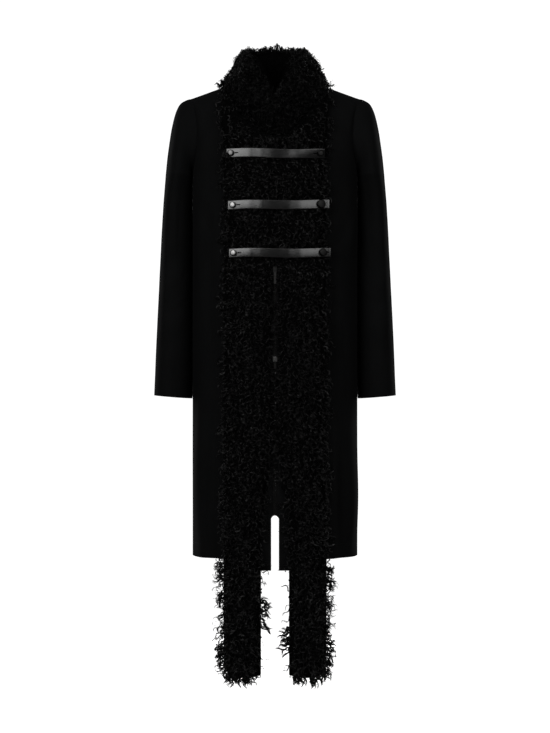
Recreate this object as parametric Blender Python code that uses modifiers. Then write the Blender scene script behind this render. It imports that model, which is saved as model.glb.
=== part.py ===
import bpy
import bmesh
from math import sin, cos, pi, radians, sqrt, atan2
from mathutils import Vector
from mathutils.bvhtree import BVHTree

# A long collarless-cut wool coat, worn shape with nobody in it: a curly fur
# collar, a fur band down each front edge that hangs on below the hem, three
# leather straps on studs across the chest and a two-way zip below them.
# The origin is the middle of the neck, level with the shoulder line where the
# collar's outer edge meets it.  Front faces -Y.  Lengths here are millimetres.
MM = 0.001

# Body
HALF_WIDTH = 181.0
FRONT_DEPTH = 124.0
BACK_DEPTH = 117.0
DEPTH_GAIN = 9.0
SQUARENESS = 2.3
UNDERARM = -190.0
SIDE_HEM = -1025.0
CENTRE_HEM = -1048.0
CLOTH = 2.2
SEAM = 0.3
PANEL_COLUMNS = 14
CHEST_ROWS = 10
FRONT_HEIGHTS = (-1048, -990, -938, -926, -880, -800, -720, -640, -560,
                 -480, -400, -386, -320, -250, -190)
BACK_HEIGHTS = (-1040, -990, -948, -936, -922, -870, -790, -710, -630,
                -550, -470, -390, -320, -250, -190)

# Shoulder, neck and armhole
NECK_POINT = (75.0, 16.0)
SHOULDER_POINT = (185.0, -24.0)
FRONT_NECK = (88.0, -62.0)
BACK_NECK = (62.0, -4.0)
ARMHOLE_HALF_DEPTH = 57.0
ARMHOLE_HOLLOW = 15.0

# Front opening
ZIP_EDGE = 5.5
SLIT_EDGE = 8.2
SLIT_TOP = -930.5
ZIP_TOP = -392.0
TAPE_WIDTH = 14.0
TAPE = 0.9
UPPER_SLIDER = -404.0
LOWER_SLIDER = -596.0

# Sleeve: outline points of the cap seen from the front, then the hanging tube
SLEEVE_SEGMENTS = 20
CAP_OUTLINE = ((185.3, -24.0), (193.5, -26.0), (206.5, -33.4), (214.2, -44.5),
               (221.0, -63.0), (227.6, -92.0), (232.0, -120.0), (236.4, -152.0),
               (238.8, -175.0), (240.5, -193.0))
CAP_DEPTH = (57.0, 57.5, 58.5, 60.0, 61.5, 63.0, 64.0, 65.0, 65.5, 66.0)
CAP_HOLLOW = (15.0, 11.0, 6.5, 4.0, 2.0, 0.8, 0.2, 0.0, 0.0, 0.0)
TUBE_COLUMNS = ("height", "inner", "outer", "middle", "half_depth", "toe_in")
TUBE = ((-193.0, 184.3, 240.5, 2.0, 66.0, 0.00),
        (-225.0, 182.6, 243.0, 12.0, 66.0, 0.09),
        (-260.0, 180.4, 245.8, 18.0, 66.0, 0.13),
        (-320.0, 178.4, 249.6, 22.0, 65.5, 0.14),
        (-380.0, 178.2, 252.6, 24.0, 65.0, 0.14),
        (-470.0, 178.2, 257.2, 24.0, 64.0, 0.13),
        (-570.0, 178.8, 262.2, 23.0, 63.0, 0.12),
        (-640.0, 180.2, 264.8, 21.0, 62.4, 0.11),
        (-679.0, 183.0, 266.4, 20.0, 62.0, 0.09))
TUBE_RINGS = 14
CUFF_TILT = 7.0

# Fur
FUR_GAP = 1.5
BAND_END = -1286.0
BAND_COLUMNS = 7
BAND_PILE = 27.0
STRAP_PILE = 12.5
COLLAR_STEPS = 36
COLLAR_LEAN = 0.20

# Straps and studs
STRAP_COLUMNS = ("height", "left", "right", "tilt")
STRAPS = ((-157.0, -104.0, 106.5, -0.8),
          (-266.5, -101.0, 117.0, 1.2),
          (-369.5, -98.5, 120.0, 0.8))
STRAP_WIDTH = 19.6
STRAP_THICK = 2.6
STRAP_LIFT = 16.6
STUD_COLUMNS = ("strap", "along", "radius", "slot_offset")
STUDS = ((0, -94.0, 6.8, 9.0), (0, 96.8, 6.8, -10.0),
         (1, -90.0, 6.8, 9.5), (1, 97.8, 9.4, -12.0),
         (2, -88.2, 6.8, 10.0), (2, 101.8, 8.6, 9.6))


# Tables and small curves --------------------------------------------------
def smooth(low, high, value):
    share = min(1.0, max(0.0, (value - low) / (high - low)))
    return share * share * (3.0 - 2.0 * share)


def mix(start, end, share):
    return start + (end - start) * share


def between(table, place, column):
    rows = sorted(table)
    for low, high in zip(rows, rows[1:]):
        if place <= high[0]:
            share = max(0.0, (place - low[0]) / (high[0] - low[0]))
            return mix(low[column], high[column], share)
    return rows[-1][column]


def eased(table, place, column):
    rows = sorted(table)
    last = len(rows) - 1
    spot = next((n for n in range(last) if place <= rows[n + 1][0]), last - 1)
    ends = [rows[max(0, min(last, n))] for n in range(spot - 1, spot + 3)]
    before, low, high, after = ends
    span = high[0] - low[0]
    share = min(1.0, max(0.0, (place - low[0]) / span))
    rise = high[column] - low[column]
    start = rise
    if low[0] > before[0]:
        start = (high[column] - before[column]) * span / (high[0] - before[0])
    finish = rise
    if after[0] > high[0]:
        finish = (after[column] - low[column]) * span / (after[0] - low[0])
    square = share * share
    cube = square * share
    return (low[column] * (2 * cube - 3 * square + 1)
            + high[column] * (3 * square - 2 * cube)
            + start * (cube - 2 * square + share)
            + finish * (cube - square))


# The body's face ----------------------------------------------------------
def folds(x, z, front):
    reach = abs(x)
    fall = smooth(-230.0, -1030.0, z)
    edge = smooth(0.0, 26.0, HALF_WIDTH - reach)
    edge *= smooth(86.0, 126.0, reach) if front else smooth(0.0, 40.0, reach)
    if front:
        lean = reach + 0.030 * (z + 600.0) * (1.0 if x > 0 else -0.6)
        wave = sin(lean / 13.6 + (0.4 if x > 0 else 1.5))
        wave += 0.45 * sin(lean / 8.4 + (2.0 if x > 0 else 0.3))
        return 4.2 * fall * edge * wave
    lean = reach + 0.040 * (z + 700.0) * (1.0 if x > 0 else -0.7)
    wave = sin(lean / 15.0 + (0.9 if x > 0 else 2.2))
    wave += 0.4 * sin(lean / 9.5 + (0.2 if x > 0 else 1.1))
    return 6.0 * fall * edge * wave


def section(turn):
    power = 2.0 / SQUARENESS
    return max(0.0, sin(turn)) ** power, max(0.0, cos(turn)) ** power


def depth_at(z, front):
    base = FRONT_DEPTH if front else BACK_DEPTH
    return base + DEPTH_GAIN * smooth(UNDERARM, -1048.0, z)


def skirt_point(across, z, hand, front):
    wide, deep = section(across * pi / 2)
    x = HALF_WIDTH * wide
    y = depth_at(z, front) * deep + folds(hand * x, z, front)
    return x, y, z


def neck_curve(turn):
    depth, low = FRONT_NECK if cos(turn) >= 0 else BACK_NECK
    rise = 1.0 - abs(cos(turn))
    x = NECK_POINT[0] * sin(turn)
    return x, -depth * cos(turn), mix(low, NECK_POINT[1], rise)


def centre_edge(up, front):
    depth, low = FRONT_NECK if front else BACK_NECK
    bend = 0.62 if front else 0.74
    if up <= bend:
        share = up / bend
        start = depth_at(UNDERARM, front)
        return 0.0, mix(depth, start, 1 - share * share), mix(UNDERARM, low, share)
    turn = (up - bend) / (1.0 - bend) * pi / 2
    x, y, z = neck_curve(turn if front else pi - turn)
    return x, abs(y), z


def armhole(up):
    turn = pi * up
    middle = (UNDERARM + SHOULDER_POINT[1]) / 2
    half = (SHOULDER_POINT[1] - UNDERARM) / 2
    x = mix(HALF_WIDTH, SHOULDER_POINT[0], up) - ARMHOLE_HOLLOW * sin(turn) ** 2
    return x, ARMHOLE_HALF_DEPTH * sin(turn), middle - half * cos(turn)


def chest_point(across, up, front):
    wide, deep = section(across * pi / 2)
    left = centre_edge(up, front)
    right = armhole(up)
    x = mix(left[0], right[0], mix(wide, across, smooth(0.55, 1.0, up)))
    y = mix(right[1], left[1], deep)
    share = (x - left[0]) / (right[0] - left[0])
    lower = share ** mix(2.0, 1.0, smooth(0.62, 1.0, up))
    return x, y, mix(left[2], right[2], lower)


def front_edge(z):
    zipped = mix(0.4, ZIP_EDGE, smooth(-386.0, -400.0, z))
    return mix(zipped, SLIT_EDGE, smooth(-926.0, -938.0, z))


def back_edge(z):
    vent = mix(0.15, 10.2, smooth(-922.0, -948.0, z))
    return vent + 3.0 * smooth(-948.0, -1040.0, z)


def face_point(across, row, hand, front):
    heights = FRONT_HEIGHTS if front else BACK_HEIGHTS
    skirt = len(heights) - 1
    if row <= skirt:
        spot = min(int(row), skirt - 1)
        z = mix(heights[spot], heights[spot + 1], row - spot)
        edge = front_edge(z) if front else back_edge(z)
        start = (edge / HALF_WIDTH) ** (SQUARENESS / 2) * 2 / pi
        along = mix(start, 1.0, across)
        wide = section(along * pi / 2)[0]
        hem = mix(heights[0], SIDE_HEM, smooth(0.30, 0.64, wide))
        share = (z - UNDERARM) / (heights[0] - UNDERARM)
        x, y, z = skirt_point(along, mix(UNDERARM, hem, share), hand, front)
    else:
        up = (row - skirt) / CHEST_ROWS
        x, y, z = chest_point(across, up, front)
        x += (0.4 if front else 0.15) * (1.0 - across)
    y += SEAM / 2
    return Vector((x, -y if front else y, z))


def face_normal(across, row, hand, front):
    step = 0.002
    left = max(0.0, across - step)
    right = min(1.0, across + step)
    rows = len(FRONT_HEIGHTS) - 1 + CHEST_ROWS
    low = max(0.0, row - step)
    high = min(rows, row + step)
    along = face_point(right, row, hand, front) - face_point(left, row, hand, front)
    rise = face_point(across, high, hand, front) - face_point(across, low, hand, front)
    normal = along.cross(rise).normalized()
    side_seam = across == 1.0 and row <= len(FRONT_HEIGHTS) - 1
    if side_seam or row == rows:
        normal.y = 0.0
        normal.normalize()
    return normal if front else -normal


# Objects ------------------------------------------------------------------
for old in list(bpy.data.objects):
    bpy.data.objects.remove(old, do_unlink=True)

coat = bpy.data.collections.new("fur_trimmed_long_coat")
cutters = bpy.data.collections.new("cutters")
for group in (coat, cutters):
    bpy.context.scene.collection.children.link(group)


def material(name, colour, roughness, metallic=0.0):
    made = bpy.data.materials.new(name)
    made.use_nodes = True
    shader = made.node_tree.nodes["Principled BSDF"]
    shader.inputs["Base Color"].default_value = (*colour, 1.0)
    shader.inputs["Roughness"].default_value = roughness
    shader.inputs["Metallic"].default_value = metallic
    return made


def place(name, mesh, surface, group=coat, rounded=True):
    bmesh.ops.recalc_face_normals(mesh, faces=mesh.faces[:])
    if mesh.calc_volume(signed=True) < 0:
        bmesh.ops.reverse_faces(mesh, faces=mesh.faces[:])
    data = bpy.data.meshes.new(name)
    mesh.to_mesh(data)
    mesh.free()
    for face in data.polygons:
        face.use_smooth = rounded
    made = bpy.data.objects.new(name, data)
    group.objects.link(made)
    if surface:
        data.materials.append(surface)
    return made


def wall(name, face, back, columns, rows, surface):
    mesh = bmesh.new()
    bmesh.ops.create_grid(mesh, x_segments=columns, y_segments=rows, size=1.0)
    spot = mesh.verts.layers.int.new("spot")
    mesh.verts.ensure_lookup_table()
    for number, vertex in enumerate(mesh.verts):
        vertex[spot] = number
    outer = list(mesh.verts)
    grown = bmesh.ops.extrude_face_region(mesh, geom=mesh.faces[:])
    inner = [item for item in grown["geom"] if isinstance(item, bmesh.types.BMVert)]
    for vertices, points in ((outer, face), (inner, back)):
        for vertex in vertices:
            row, column = divmod(vertex[spot], columns + 1)
            vertex.co = points[row][column] * MM
    return place(name, mesh, surface)


def flipped(points, hand):
    return [[Vector((hand * p.x, p.y, p.z)) for p in row] for row in points]


def loft(name, rings, surface, closed_ring=True):
    mesh = bmesh.new()
    made = [[mesh.verts.new(point * MM) for point in ring] for ring in rings]
    count = len(rings[0])
    for low, high in zip(made, made[1:]):
        for n in range(count):
            after = (n + 1) % count
            mesh.faces.new((low[n], low[after], high[after], high[n]))
    mesh.faces.new(made[0])
    mesh.faces.new(made[-1])
    return place(name, mesh, surface)


# Cloth panels
rows_all = len(FRONT_HEIGHTS) - 1 + CHEST_ROWS
for front, title in ((True, "front"), (False, "back")):
    for hand, side in ((1, "left"), (-1, "right")):
        face = []
        inside = []
        for row in range(rows_all + 1):
            spread = [c / PANEL_COLUMNS for c in range(PANEL_COLUMNS + 1)]
            points = [face_point(a, row, hand, front) for a in spread]
            normals = [face_normal(a, row, hand, front) for a in spread]
            face.append(points)
            inside.append([p - n * CLOTH for p, n in zip(points, normals)])
        wool = material("wool_%s_%s" % (title, side), (0.012, 0.012, 0.014), 0.9)
        wall("%s_%s" % (title, side), flipped(face, hand), flipped(inside, hand),
             PANEL_COLUMNS, rows_all, wool)


# Sleeves: rings that open like a fan from the underarm, then hang
def sleeve_rings(hand):
    rings = []
    pivot_x = HALF_WIDTH + SEAM
    pivot_z = UNDERARM - 3.0
    for (x, z), depth, hollow in zip(CAP_OUTLINE, CAP_DEPTH, CAP_HOLLOW):
        turn = atan2(x - HALF_WIDTH, z - UNDERARM)
        turn = min(pi / 2, max(0.0, turn))
        if z == CAP_OUTLINE[0][1]:
            turn = 0.0
        inner = Vector((pivot_x + 3.0 * sin(turn), 0.0, pivot_z + 3.0 * cos(turn)))
        outer = Vector((x, 0.0, z))
        half = (outer - inner) / 2
        side = Vector((half.z, 0.0, -half.x)).normalized()
        ring = []
        for n in range(SLEEVE_SEGMENTS):
            round_by = 2 * pi * n / SLEEVE_SEGMENTS
            point = inner + half * (1.0 - cos(round_by))
            point.y = -depth * sin(round_by)
            ring.append(point - side * hollow * sin(round_by) ** 2)
        rings.append(ring)
    top = TUBE[0][0]
    end = TUBE[-1][0]
    for step in range(1, TUBE_RINGS + 1):
        share = step / TUBE_RINGS
        z = mix(top, end, share)
        inner, outer, middle, depth, toe = (eased(TUBE, z, n) for n in range(1, 6))
        reach = (outer - inner) / 2
        half = sqrt(reach * reach - (toe * depth) ** 2)
        centre = (inner + outer) / 2
        elbow = 2.6 * smooth(0.12, 0.4, share) * (1.0 - smooth(0.62, 0.95, share))
        ring = []
        for n in range(SLEEVE_SEGMENTS):
            round_by = 2 * pi * n / SLEEVE_SEGMENTS
            y = -depth * sin(round_by)
            x = centre - half * cos(round_by) - toe * y
            crease = elbow * sin(z / (15.0 + hand) + 2.2 * sin(round_by) + hand)
            out = 1.0 + crease * max(0.0, sin(round_by * 1.0 - 0.5)) / depth
            tilt = CUFF_TILT * smooth(0.8, 1.0, share) * (x - centre) / reach / 2
            ring.append(Vector((x, middle + y * out, z + tilt)))
        rings.append(ring)
    return rings


def ring_normals(rings):
    normals = []
    count = len(rings[0])
    for row, ring in enumerate(rings):
        low = rings[max(0, row - 1)]
        high = rings[min(len(rings) - 1, row + 1)]
        line = []
        for n in range(count):
            around = ring[(n + 1) % count] - ring[n - 1]
            down = high[n] - low[n]
            line.append(around.cross(down).normalized())
        normals.append(line)
    return normals


def tube(name, rings, inner_rings, surface):
    mesh = bmesh.new()
    skins = []
    for layer in (rings, inner_rings):
        skins.append([[mesh.verts.new(p * MM) for p in ring] for ring in layer])
    count = len(rings[0])
    for skin in skins:
        for low, high in zip(skin, skin[1:]):
            for n in range(count):
                after = (n + 1) % count
                mesh.faces.new((low[n], low[after], high[after], high[n]))
    for end in (0, -1):
        for n in range(count):
            after = (n + 1) % count
            mesh.faces.new((skins[0][end][n], skins[0][end][after],
                            skins[1][end][after], skins[1][end][n]))
    return place(name, mesh, surface)


for hand, side in ((1, "left"), (-1, "right")):
    rings = sleeve_rings(hand)
    normals = ring_normals(rings)
    centre_way = rings[12][0] - rings[12][SLEEVE_SEGMENTS // 2]
    sign = 1.0 if normals[12][0].dot(centre_way) > 0 else -1.0
    inner = [[p - n * sign * CLOTH for p, n in zip(ring, line)]
             for ring, line in zip(rings, normals)]
    wool = material("wool_sleeve_%s" % side, (0.012, 0.012, 0.014), 0.9)
    tube("sleeve_%s" % side, flipped(rings, hand), flipped(inner, hand), wool)


# The panels as built, and the front's face carried on below the hem, to lay things on
def panel_tree(names):
    points = []
    faces = []
    for name in names:
        data = bpy.data.objects[name].data
        first = len(points)
        points += [vertex.co / MM for vertex in data.vertices]
        faces += [[first + n for n in face.vertices] for face in data.polygons]
    return BVHTree.FromPolygons(points, faces)


def skirt_tree():
    mesh = bmesh.new()
    columns = 40
    rows = []
    for z in range(-1350, -959, 10):
        rows.append([skirt_point(c / columns, z, 1, True) for c in range(columns + 1)])
    made = [[mesh.verts.new((x, -y, z)) for x, y, z in row] for row in rows]
    for low, high in zip(made, made[1:]):
        for n in range(columns):
            mesh.faces.new((low[n], low[n + 1], high[n + 1], high[n]))
    mesh.normal_update()
    tree = BVHTree.FromBMesh(mesh)
    mesh.free()
    return tree


panels = panel_tree(("front_left", "front_right", "back_left", "back_right"))
below_hem = skirt_tree()


def front_hit(x, z):
    spots = []
    start = Vector((max(9.0, abs(x)) * (1.0 if x > 0 else -1.0), -400.0, z))
    hit, _, _, _ = panels.ray_cast(start, Vector((0, 1, 0)), 420.0)
    if hit:
        spots.append(hit.y)
    if z < -965.0:
        start.x = abs(start.x)
        hit, _, _, _ = below_hem.ray_cast(start, Vector((0, 1, 0)))
        spots.append(hit.y)
    away = Vector((x / HALF_WIDTH ** 2, -0.6 / FRONT_DEPTH, 0.0))
    if z > UNDERARM:
        away.z = 0.0045 * smooth(UNDERARM, -20.0, z)
    return Vector((x, min(spots), z)), away.normalized()


def top_height(x, y):
    start = Vector((x if abs(x) > 1.0 else 1.0, y if abs(y) > 0.6 else 0.6, 300.0))
    hit, _, _, _ = panels.ray_cast(start, Vector((0, 0, -1)))
    return hit.z


# Fur collar: a thick ring open at the front, lower there, leaning in
def collar_top(turn):
    bend = abs(turn) * 180 / pi
    heights = ((0.0, -12.0), (12.0, 14.0), (26.0, 50.0), (45.0, 70.0),
               (75.0, 80.0), (110.0, 87.0), (180.0, 95.0))
    return eased(heights, bend, 1)


def collar_reach(turn):
    side = sin(abs(turn)) ** 2
    return (26.0 if cos(turn) > 0 else 30.0) + 15.0 * side


def collar_section(turn):
    x, y, z = neck_curve(abs(turn))
    x = x if turn > 0 else -x
    ahead = Vector((x, y, 0.0))
    away = Vector((x / NECK_POINT[0] ** 2, y / 80.0 ** 2, 0.0)).normalized()
    base = z + 3.0
    top = collar_top(turn)
    reach = collar_reach(turn)
    lump = 2.2 * sin(turn * 5.0 + 0.6) + 1.6 * sin(turn * 9.0 + 1.9)

    def at(up, out):
        lean = 1.0 - COLLAR_LEAN * up
        point = Vector((ahead.x * lean, ahead.y * lean, mix(base, top, up)))
        return point + away * out

    points = [at(0.0, -1.0), at(0.35, -1.5), at(0.7, -1.5), at(0.93, 0.5)]
    points.append(at(1.0, 9.0))
    points.append(at(0.96, 18.0 + 0.3 * lump))
    points.append(at(0.74, 24.5 + lump))
    points.append(at(0.45, mix(28.0, reach * 0.8, 0.5) + lump))
    points.append(at(0.18, reach * 0.88 + 0.6 * lump))
    for share in (1.0, 0.75, 0.5, 0.25):
        spot = ahead + away * (reach * share)
        spot.z = top_height(spot.x, spot.y) + 4.6
        points.append(spot)
    return points


collar_rings = []
for step in range(COLLAR_STEPS + 1):
    share = 2.0 * step / COLLAR_STEPS - 1.0
    turn = pi - 0.030 if abs(share) < 1e-6 else pi * (1.0 - abs(share))
    turn = max(0.024, turn)
    collar_rings.append(collar_section(turn if share > 0 else -turn))
middle = COLLAR_STEPS // 2
collar_rings[middle] = [Vector((0.0, p.y, p.z)) for p in collar_rings[middle]]
loft("fur_collar", collar_rings, material("curly_fur_collar", (0.01, 0.01, 0.011), 0.6))


# Fur bands: thick strips on the fronts, pressed down under the straps
collar_line = []
for step in range(60):
    turn = 0.03 + step * 0.0262
    x, y, z = neck_curve(turn)
    away = Vector((x / NECK_POINT[0] ** 2, y / 80.0 ** 2, 0.0)).normalized()
    spot = Vector((x, y, 0.0)) + away * collar_reach(turn)
    collar_line.append((spot.x, top_height(spot.x, spot.y)))


def band_top(x):
    return between(collar_line, abs(x), 1) - 4.0


def band_inner(z):
    edge = 2.6 + 5.2 * smooth(-372.0, -396.0, z) * smooth(-640.0, -616.0, z)
    table = ((-1300.0, 29.5), (-960.0, 29.5), (-930.0, 28.5), (-895.0, 22.0),
             (-830.0, 12.0), (-775.0, edge), (0.0, edge))
    return between(table, z, 1)


def band_outer(z):
    table = ((-1300.0, 107.0), (-1000.0, 107.5), (-600.0, 106.0), (-300.0, 105.5),
             (-150.0, 107.0), (-80.0, 110.0), (-30.0, 114.0), (0.0, 116.0))
    return between(table, z, 1)


def pile(share, x, z, hand):
    edge = (max(0.0, sin(pi * min(1.0, max(0.0, share))))) ** 0.45
    lumps = 2.4 * sin(z / 21.0 + hand) * sin(x / 15.0) + 1.8 * sin(z / 11.0 + x / 9.0)
    depth = 7.0 + (BAND_PILE - 7.0) * edge + lumps * edge
    for height, _, _, _ in STRAPS:
        near = 1.0 - smooth(11.0, 25.0, abs(z - height))
        depth = mix(depth, min(depth, STRAP_PILE), near)
    return depth


# Rows of the bands: level, with a pair at each side of a strap, then a fan
# up to the collar
band_levels = [BAND_END, BAND_END + 5.0, BAND_END + 20.0]
while band_levels[-1] < STRAPS[-1][0] - 50.0:
    band_levels.append(band_levels[-1] + 31.0)
for strap in reversed(STRAPS):
    gap = strap[0] - 24.0 - band_levels[-1]
    if gap > 34.0:
        band_levels.append(band_levels[-1] + gap / 2)
    band_levels += [strap[0] + step for step in (-24.0, -14.5, 0.0, 14.5, 24.0)]
BAND_FAN = 6

for hand, side in ((1, "left"), (-1, "right")):
    outside = []
    skin = []
    count = len(band_levels)
    for row in range(count + BAND_FAN):
        face_line = []
        skin_line = []
        for column in range(BAND_COLUMNS + 1):
            across = column / BAND_COLUMNS
            level = band_levels[min(row, count - 1)]
            x = mix(band_inner(level), band_outer(level), across)
            z = level
            if row >= count:
                rise = (row - count + 1) / BAND_FAN
                x = mix(band_inner(z), band_outer(mix(z, -20.0, rise)), across)
                z = mix(level, band_top(x), rise)
            else:
                curl = 22.0 * abs(2.0 * across - 1.0) ** 3
                z += curl * (1.0 - smooth(BAND_END, BAND_END + 60.0, level))
            hit, normal = front_hit(hand * x, z)
            hit.x *= hand
            normal.x *= hand
            bump = pile(across, x, z, hand)
            if row == 0:
                bump *= 0.45
            gap = FUR_GAP + 3.2 * smooth(STRAPS[0][0] + 14.0, -80.0, z)
            skin_line.append(hit + normal * gap)
            face_line.append(hit + normal * (gap + bump))
        outside.append(face_line)
        skin.append(skin_line)
    fur = material("curly_fur_band_%s" % side, (0.01, 0.01, 0.011), 0.6)
    wall("fur_band_%s" % side, flipped(outside, hand), flipped(skin, hand),
         BAND_COLUMNS, count + BAND_FAN - 1, fur)


# Straps with a keyhole slot beside each stud
def strap_point(strap, x, lift, down=0.0):
    height, left, right, tilt = strap
    share = (x - left) / (right - left)
    z = height + tilt * (2.0 * share - 1.0) + 1.2 * sin(share * 2.4 * pi) + down
    under = x
    for _ in range(4):
        levels = [front_hit(under, height + step) for step in (-11.0, 0.0, 11.0)]
        ahead = min(hit.y for hit, _ in levels)
        normal = levels[1][1]
        under = x - normal.x * lift
    return Vector((x, ahead + normal.y * lift, z))


def slot_cutter(name, middle, length):
    mesh = bmesh.new()
    bmesh.ops.create_circle(mesh, cap_ends=True, radius=0.75, segments=12)
    for vertex in mesh.verts:
        vertex.co.x += length / 2 - 0.75 if vertex.co.x > 0 else 0.75 - length / 2
    grown = bmesh.ops.extrude_face_region(mesh, geom=mesh.faces[:])
    for item in grown["geom"]:
        if isinstance(item, bmesh.types.BMVert):
            item.co.z = 20.0
    for vertex in mesh.verts:
        flat = vertex.co.copy()
        vertex.co = (middle + Vector((flat.x, flat.z - 10.0, flat.y))) * MM
    cutter = place(name, mesh, None, cutters, False)
    cutter.hide_render = True
    cutter.display_type = "WIRE"
    return cutter


STRAP_NAMES = ("strap_upper", "strap_middle", "strap_lower")
for index, (name, strap) in enumerate(zip(STRAP_NAMES, STRAPS)):
    face = []
    under = []
    for row in range(3):
        down = (row - 1) * STRAP_WIDTH / 2
        spread = [mix(strap[1], strap[2], c / 22) for c in range(23)]
        face.append([strap_point(strap, x, STRAP_LIFT + STRAP_THICK, down) for x in spread])
        under.append([strap_point(strap, x, STRAP_LIFT, down) for x in spread])
    made = wall(name, face, under, 22, 2, material("leather_" + name, (0.012, 0.012, 0.012), 0.35))
    bevel = made.modifiers.new("soft_edge", "BEVEL")
    bevel.width = 0.5 * MM
    bevel.segments = 1
    bevel.angle_limit = radians(50.0)
    for number, (owner, along, radius, offset) in enumerate(STUDS):
        if owner != index or abs(offset) > 11.5:
            continue
        middle_point = strap_point(strap, along + offset, STRAP_LIFT)
        cutter = slot_cutter("slot_%d" % number, middle_point, 5.2)
        cut = made.modifiers.new("slot", "BOOLEAN")
        cut.object = cutter
        cut.solver = "EXACT"


# Studs: a domed head on a short neck, turned about its own axis
def stud(name, middle, away, radius, surface):
    turner = away.to_track_quat("Z", "Y")
    profile = ((0.0, 0.0), (radius * 0.62, 0.0), (radius * 0.62, 0.8),
               (radius * 0.42, 1.4), (radius * 0.96, 2.6), (radius, 3.5),
               (radius * 0.80, 5.2), (radius * 0.42, 6.2), (0.0, 6.5))
    mesh = bmesh.new()
    points = [mesh.verts.new((r, 0.0, z)) for r, z in profile]
    for low, high in zip(points, points[1:]):
        mesh.edges.new((low, high))
    bmesh.ops.spin(mesh, geom=mesh.verts[:] + mesh.edges[:], axis=(0, 0, 1),
                   cent=(0, 0, 0), angle=2 * pi, steps=14, use_duplicate=False)
    bmesh.ops.remove_doubles(mesh, verts=mesh.verts[:], dist=0.01)
    for vertex in mesh.verts:
        vertex.co = (middle + turner @ vertex.co) * MM
    return place(name, mesh, surface)


for number, (owner, along, radius, offset) in enumerate(STUDS):
    strap = STRAPS[owner]
    spot = strap_point(strap, along, STRAP_LIFT + STRAP_THICK)
    ahead = strap_point(strap, along + 1.0, STRAP_LIFT + STRAP_THICK) - spot
    away = Vector((ahead.y, -ahead.x, 0.0)).normalized()
    name = "stud_%s_%s" % (STRAP_NAMES[owner][6:], "right" if along < 0 else "left")
    spot = spot + away * 0.5
    stud(name, spot, away, radius, material("metal_" + name, (0.3, 0.3, 0.31), 0.3, 1.0))


# Zip: two tapes behind the front edges, their foot cut round over the slit
for hand, side in ((1, "left"), (-1, "right")):
    face = []
    back = []
    for row in range(13):
        line = []
        behind = []
        for column in range(4):
            x = mix(0.25, TAPE_WIDTH, column / 3)
            foot = -SLIT_EDGE + sqrt(max(0.0, SLIT_EDGE ** 2 - min(x, SLIT_EDGE) ** 2))
            z = mix(SLIT_TOP + foot, ZIP_TOP, row / 12)
            hit, normal = front_hit(x, z)
            line.append(Vector((x, hit.y + CLOTH + 0.9, z)))
            behind.append(Vector((x, hit.y + CLOTH + 0.9 + TAPE, z)))
        face.append(line)
        back.append(behind)
    tape = material("zip_tape_" + side, (0.012, 0.012, 0.012), 0.8)
    wall("zip_tape_" + side, flipped(face, hand), flipped(back, hand), 3, 12, tape)


def block(name, low, high, surface, bevel=0.0):
    mesh = bmesh.new()
    bmesh.ops.create_cube(mesh, size=1.0)
    size = high - low
    for vertex in mesh.verts:
        spot = vertex.co + Vector((0.5, 0.5, 0.5))
        vertex.co = (low + Vector((spot.x * size.x, spot.y * size.y, spot.z * size.z))) * MM
    made = place(name, mesh, surface, coat, False)
    if bevel:
        soften = made.modifiers.new("soft_edge", "BEVEL")
        soften.width = bevel * MM
        soften.segments = 2
        soften.limit_method = "NONE"
    return made


def join(made, other, operation):
    step = made.modifiers.new(operation.lower(), "BOOLEAN")
    step.object = other
    step.operation = operation
    step.solver = "EXACT"


def tool_block(name, low, high, bevel=0.0):
    made = block(name, low, high, None, bevel)
    coat.objects.unlink(made)
    cutters.objects.link(made)
    made.hide_render = True
    made.display_type = "WIRE"
    return made


# Each slider: a body between the front edges with a narrow bridge before it,
# and a pull whose cross bar lies under the bridge
def slider(name, z, pull_length):
    y = front_hit(0.0, z)[0].y
    steel = material("metal_slider_" + name, (0.3, 0.3, 0.31), 0.3, 1.0)
    bright = material("metal_pull_" + name, (0.3, 0.3, 0.31), 0.25, 1.0)
    body = block("zip_slider_" + name, Vector((-4.4, y - 2.0, z - 5.5)),
                 Vector((4.4, y + 2.5, z + 5.5)), steel)
    bridge = tool_block("bridge_" + name, Vector((-0.8, y - 7.0, z - 4.6)),
                        Vector((0.8, y - 1.2, z + 4.6)))
    under = tool_block("under_bridge_" + name, Vector((-2.0, y - 5.4, z - 3.0)),
                       Vector((2.0, y - 2.0, z + 3.0)))
    join(body, bridge, "UNION")
    join(body, under, "DIFFERENCE")
    hinge = Vector((0.0, y - 3.7, z + 1.5))
    pull = block("zip_pull_" + name, hinge + Vector((-2.6, -0.7, -pull_length)),
                 hinge + Vector((2.6, 0.7, 0.8)), bright)
    window = tool_block("window_" + name, hinge + Vector((-1.3, -2.0, -8.6)),
                        hinge + Vector((1.3, 2.0, -0.8)))
    join(pull, window, "DIFFERENCE")
    return hinge


upper_hinge = slider("upper", UPPER_SLIDER, 33.0)
lower_hinge = slider("lower", LOWER_SLIDER, 22.0)
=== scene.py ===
import bpy
import numpy as np
from math import sin, cos, pi, radians, sqrt, atan2
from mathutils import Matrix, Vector
from mathutils.bvhtree import BVHTree


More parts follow.
